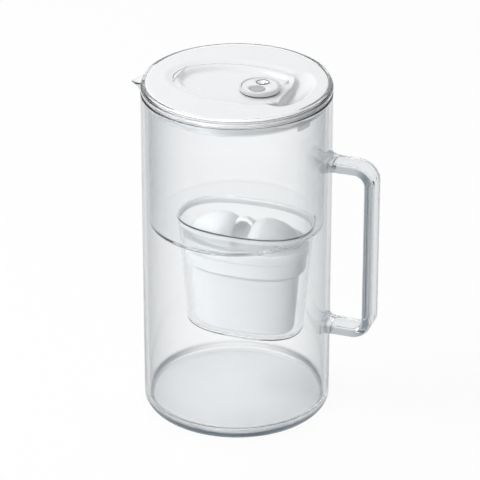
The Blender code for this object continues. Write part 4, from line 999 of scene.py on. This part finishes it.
def makeCap():
    count, deck, side, low = cap["around"], cap["deck"], cap["inset"], cap["low"]
    flange = soften([
        (side + cap["wall"], low, 0.0), (side, low, 0.5), (side, deck, 1.2), (side + 3.0, deck, 0.0),
    ], 5)
    rings = [wellRing(inset, z, count) for inset, z in flange]
    edge = rings[-1]

    def dome(drop, least):
        made = []
        for step in range(1, 56):
            share = step / 56.0
            ring = []
            for x, y, _ in edge:
                x, y = x + (well["shift"] - x) * share, y * (1 - share)
                ring.append((x, y, max(capHeight(x, y) - drop, least)))
            made.append(ring)
        return made

    rings += dome(0.0, deck)
    rings += reversed(dome(cap["wall"], deck - cap["wall"]))
    bm = skin(rings, loop=True)
    grip = []
    thin, half = cap["gripThin"], cap["gripHalf"]
    section = soften([
        (thin, half, 0.8), (-thin, half, 0.8), (-thin, -half, 0.8), (thin, -half, 0.8),
    ], 4, True)
    for step in range(33):
        a = math.radians(-8 + 196 * step / 32)
        c, s = math.cos(a), math.sin(a)
        reach = [(cap["grip"] - thin + u, v) for u, v in section]
        grip.append([(well["shift"] + r * c, v, cap["gripZ"] + r * s) for r, v in reach])
    addTo(bm, grip)
    place("cartridgeCap", bm, filterWhite, "cartridge", ["cartridge_cap"], "filter_plastic", 45.0)


makeCup()
makeCap()
print("cartridge made")


keptNodes = {
    "filter_granules": makeGranules(), "inlet_screen": makeScreen(), "outlet_screen": makeScreen(),
    "flap_hinge_pin": brightSteel, "battery_contact": brightSteel, "coin_cell": brightSteel,
    "indicator_seal": sealRubber, "cover_seal_ring": sealRubber, "circuit_board": makeBoard(),
    "reset_switch": makeSwitchBlack(), "led_ready": makeLamp(), "led_change": makeLamp(),
    "battery_cover": lidWhite,
}
for name, material in keptNodes.items():
    nodes[name].data.materials.clear()
    nodes[name].data.materials.append(material)


studio = {  # the floor's half width in metres
    "floor": 20.0, "floorPale": (0.93, 0.93, 0.93, 1.0), "floorCloud": (0.92, 0.92, 0.92, 1.0),
    "floorWhite": 0.9, "ambient": 0.6, "sky": (0.86, 0.88, 0.90, 1.0),
}


def makeFloor():
    half = studio["floor"] / mm
    bm = boxMesh((-half, -half, -20.0), (half, half, -0.05))
    bmesh.ops.recalc_face_normals(bm, faces=bm.faces)
    mesh = bpy.data.meshes.new("studioFloor")
    bm.to_mesh(mesh)
    bm.free()
    floor = bpy.data.objects.new("studioFloor", mesh)
    bpy.context.scene.collection.objects.link(floor)
    made = Finish("floorPaper", {"Roughness": 0.9})
    made.set("Base Color", made.blend(made.grain(60.0), studio["floorPale"], studio["floorCloud"]))
    seen = made.node("ShaderNodeLightPath", output="Is Camera Ray")
    for kind in ("Is Glossy Ray", "Is Transmission Ray"):
        seen = seen.math("MAXIMUM", seen, made.node("ShaderNodeLightPath", output=kind))
    white = made.node("ShaderNodeEmission", None, {"Color": (1.0, 1.0, 1.0, 1.0), "Strength": 1.0})
    made.mixShown(seen * studio["floorWhite"], white)
    mesh.materials.append(made.material)


def makeWorld():
    world = bpy.data.worlds.new("studioWorld")
    bpy.context.scene.world = world
    world.use_nodes = True
    tree = world.node_tree
    back = tree.nodes["Background"]
    back.inputs["Color"].default_value = studio["sky"]
    back.inputs["Strength"].default_value = studio["ambient"]
    bright = tree.nodes.new("ShaderNodeBackground")
    bright.inputs["Strength"].default_value = 1.0
    bright.inputs["Color"].default_value = (1.0, 1.0, 1.0, 1.0)
    rays = tree.nodes.new("ShaderNodeLightPath")
    seen = Wire(tree, rays.outputs["Is Camera Ray"])
    for kind in ("Is Transmission Ray", "Is Glossy Ray"):
        seen = seen.math("MAXIMUM", seen, Wire(tree, rays.outputs[kind]))
    both = tree.nodes.new("ShaderNodeMixShader")
    tree.links.new(seen.socket, both.inputs[0])
    tree.links.new(back.outputs[0], both.inputs[1])
    tree.links.new(bright.outputs[0], both.inputs[2])
    tree.links.new(both.outputs[0], tree.nodes["World Output"].inputs["Surface"])


def areaLight(name, at, aim, size, power, glints=True):
    light = bpy.data.lights.new(name, "AREA")
    light.shape, light.size, light.energy = "DISK", size, power
    lamp = bpy.data.objects.new(name, light)
    lamp.location, lamp.visible_glossy = at, glints
    lamp.rotation_mode = "QUATERNION"
    lamp.rotation_quaternion = (Vector(aim) - Vector(at)).to_track_quat("-Z", "Y")
    bpy.context.scene.collection.objects.link(lamp)


def makeStudio():
    makeFloor()
    makeWorld()
    aim = (0.0, 0.0, 0.15)
    areaLight("keyLamp", (-1.1, -0.5, 1.5), aim, 0.9, 13.0)
    areaLight("fillLamp", (1.2, -1.0, 1.0), aim, 0.9, 2.0, False)
    areaLight("frontLamp", (-0.5, -1.7, 0.35), (0.0, 0.0, 0.1), 0.8, 9.0, False)
    areaLight("backLamp", (-1.0, 0.9, 1.6), aim, 0.8, 6.0, False)


camera = {  # angles in degrees, lengths in metres, the lens in millimetres
    "azimuth": 20.0, "elevation": 26.9, "distance": 2.4, "aimZ": 0.1377, "lens": 232.5,
    "shiftX": 0.0065,
}


def makeCamera():
    data = bpy.data.cameras.new("camera")
    eye = bpy.data.objects.new("camera", data)
    a, e = math.radians(camera["azimuth"]), math.radians(camera["elevation"])
    back = Vector((math.sin(a) * math.cos(e), -math.cos(a) * math.cos(e), math.sin(e)))
    eye.location = Vector((0.0, 0.0, camera["aimZ"])) + back * camera["distance"]
    eye.rotation_mode = "QUATERNION"
    eye.rotation_quaternion = (-back).to_track_quat("-Z", "Y")
    data.lens, data.sensor_width, data.shift_x = camera["lens"], 36.0, camera["shiftX"]
    data.clip_start, data.clip_end = 0.05, 50.0
    bpy.context.scene.collection.objects.link(eye)
    bpy.context.scene.camera = eye


makeStudio()
makeCamera()
bpy.context.scene.view_settings.view_transform = "Standard"
print("studio made")
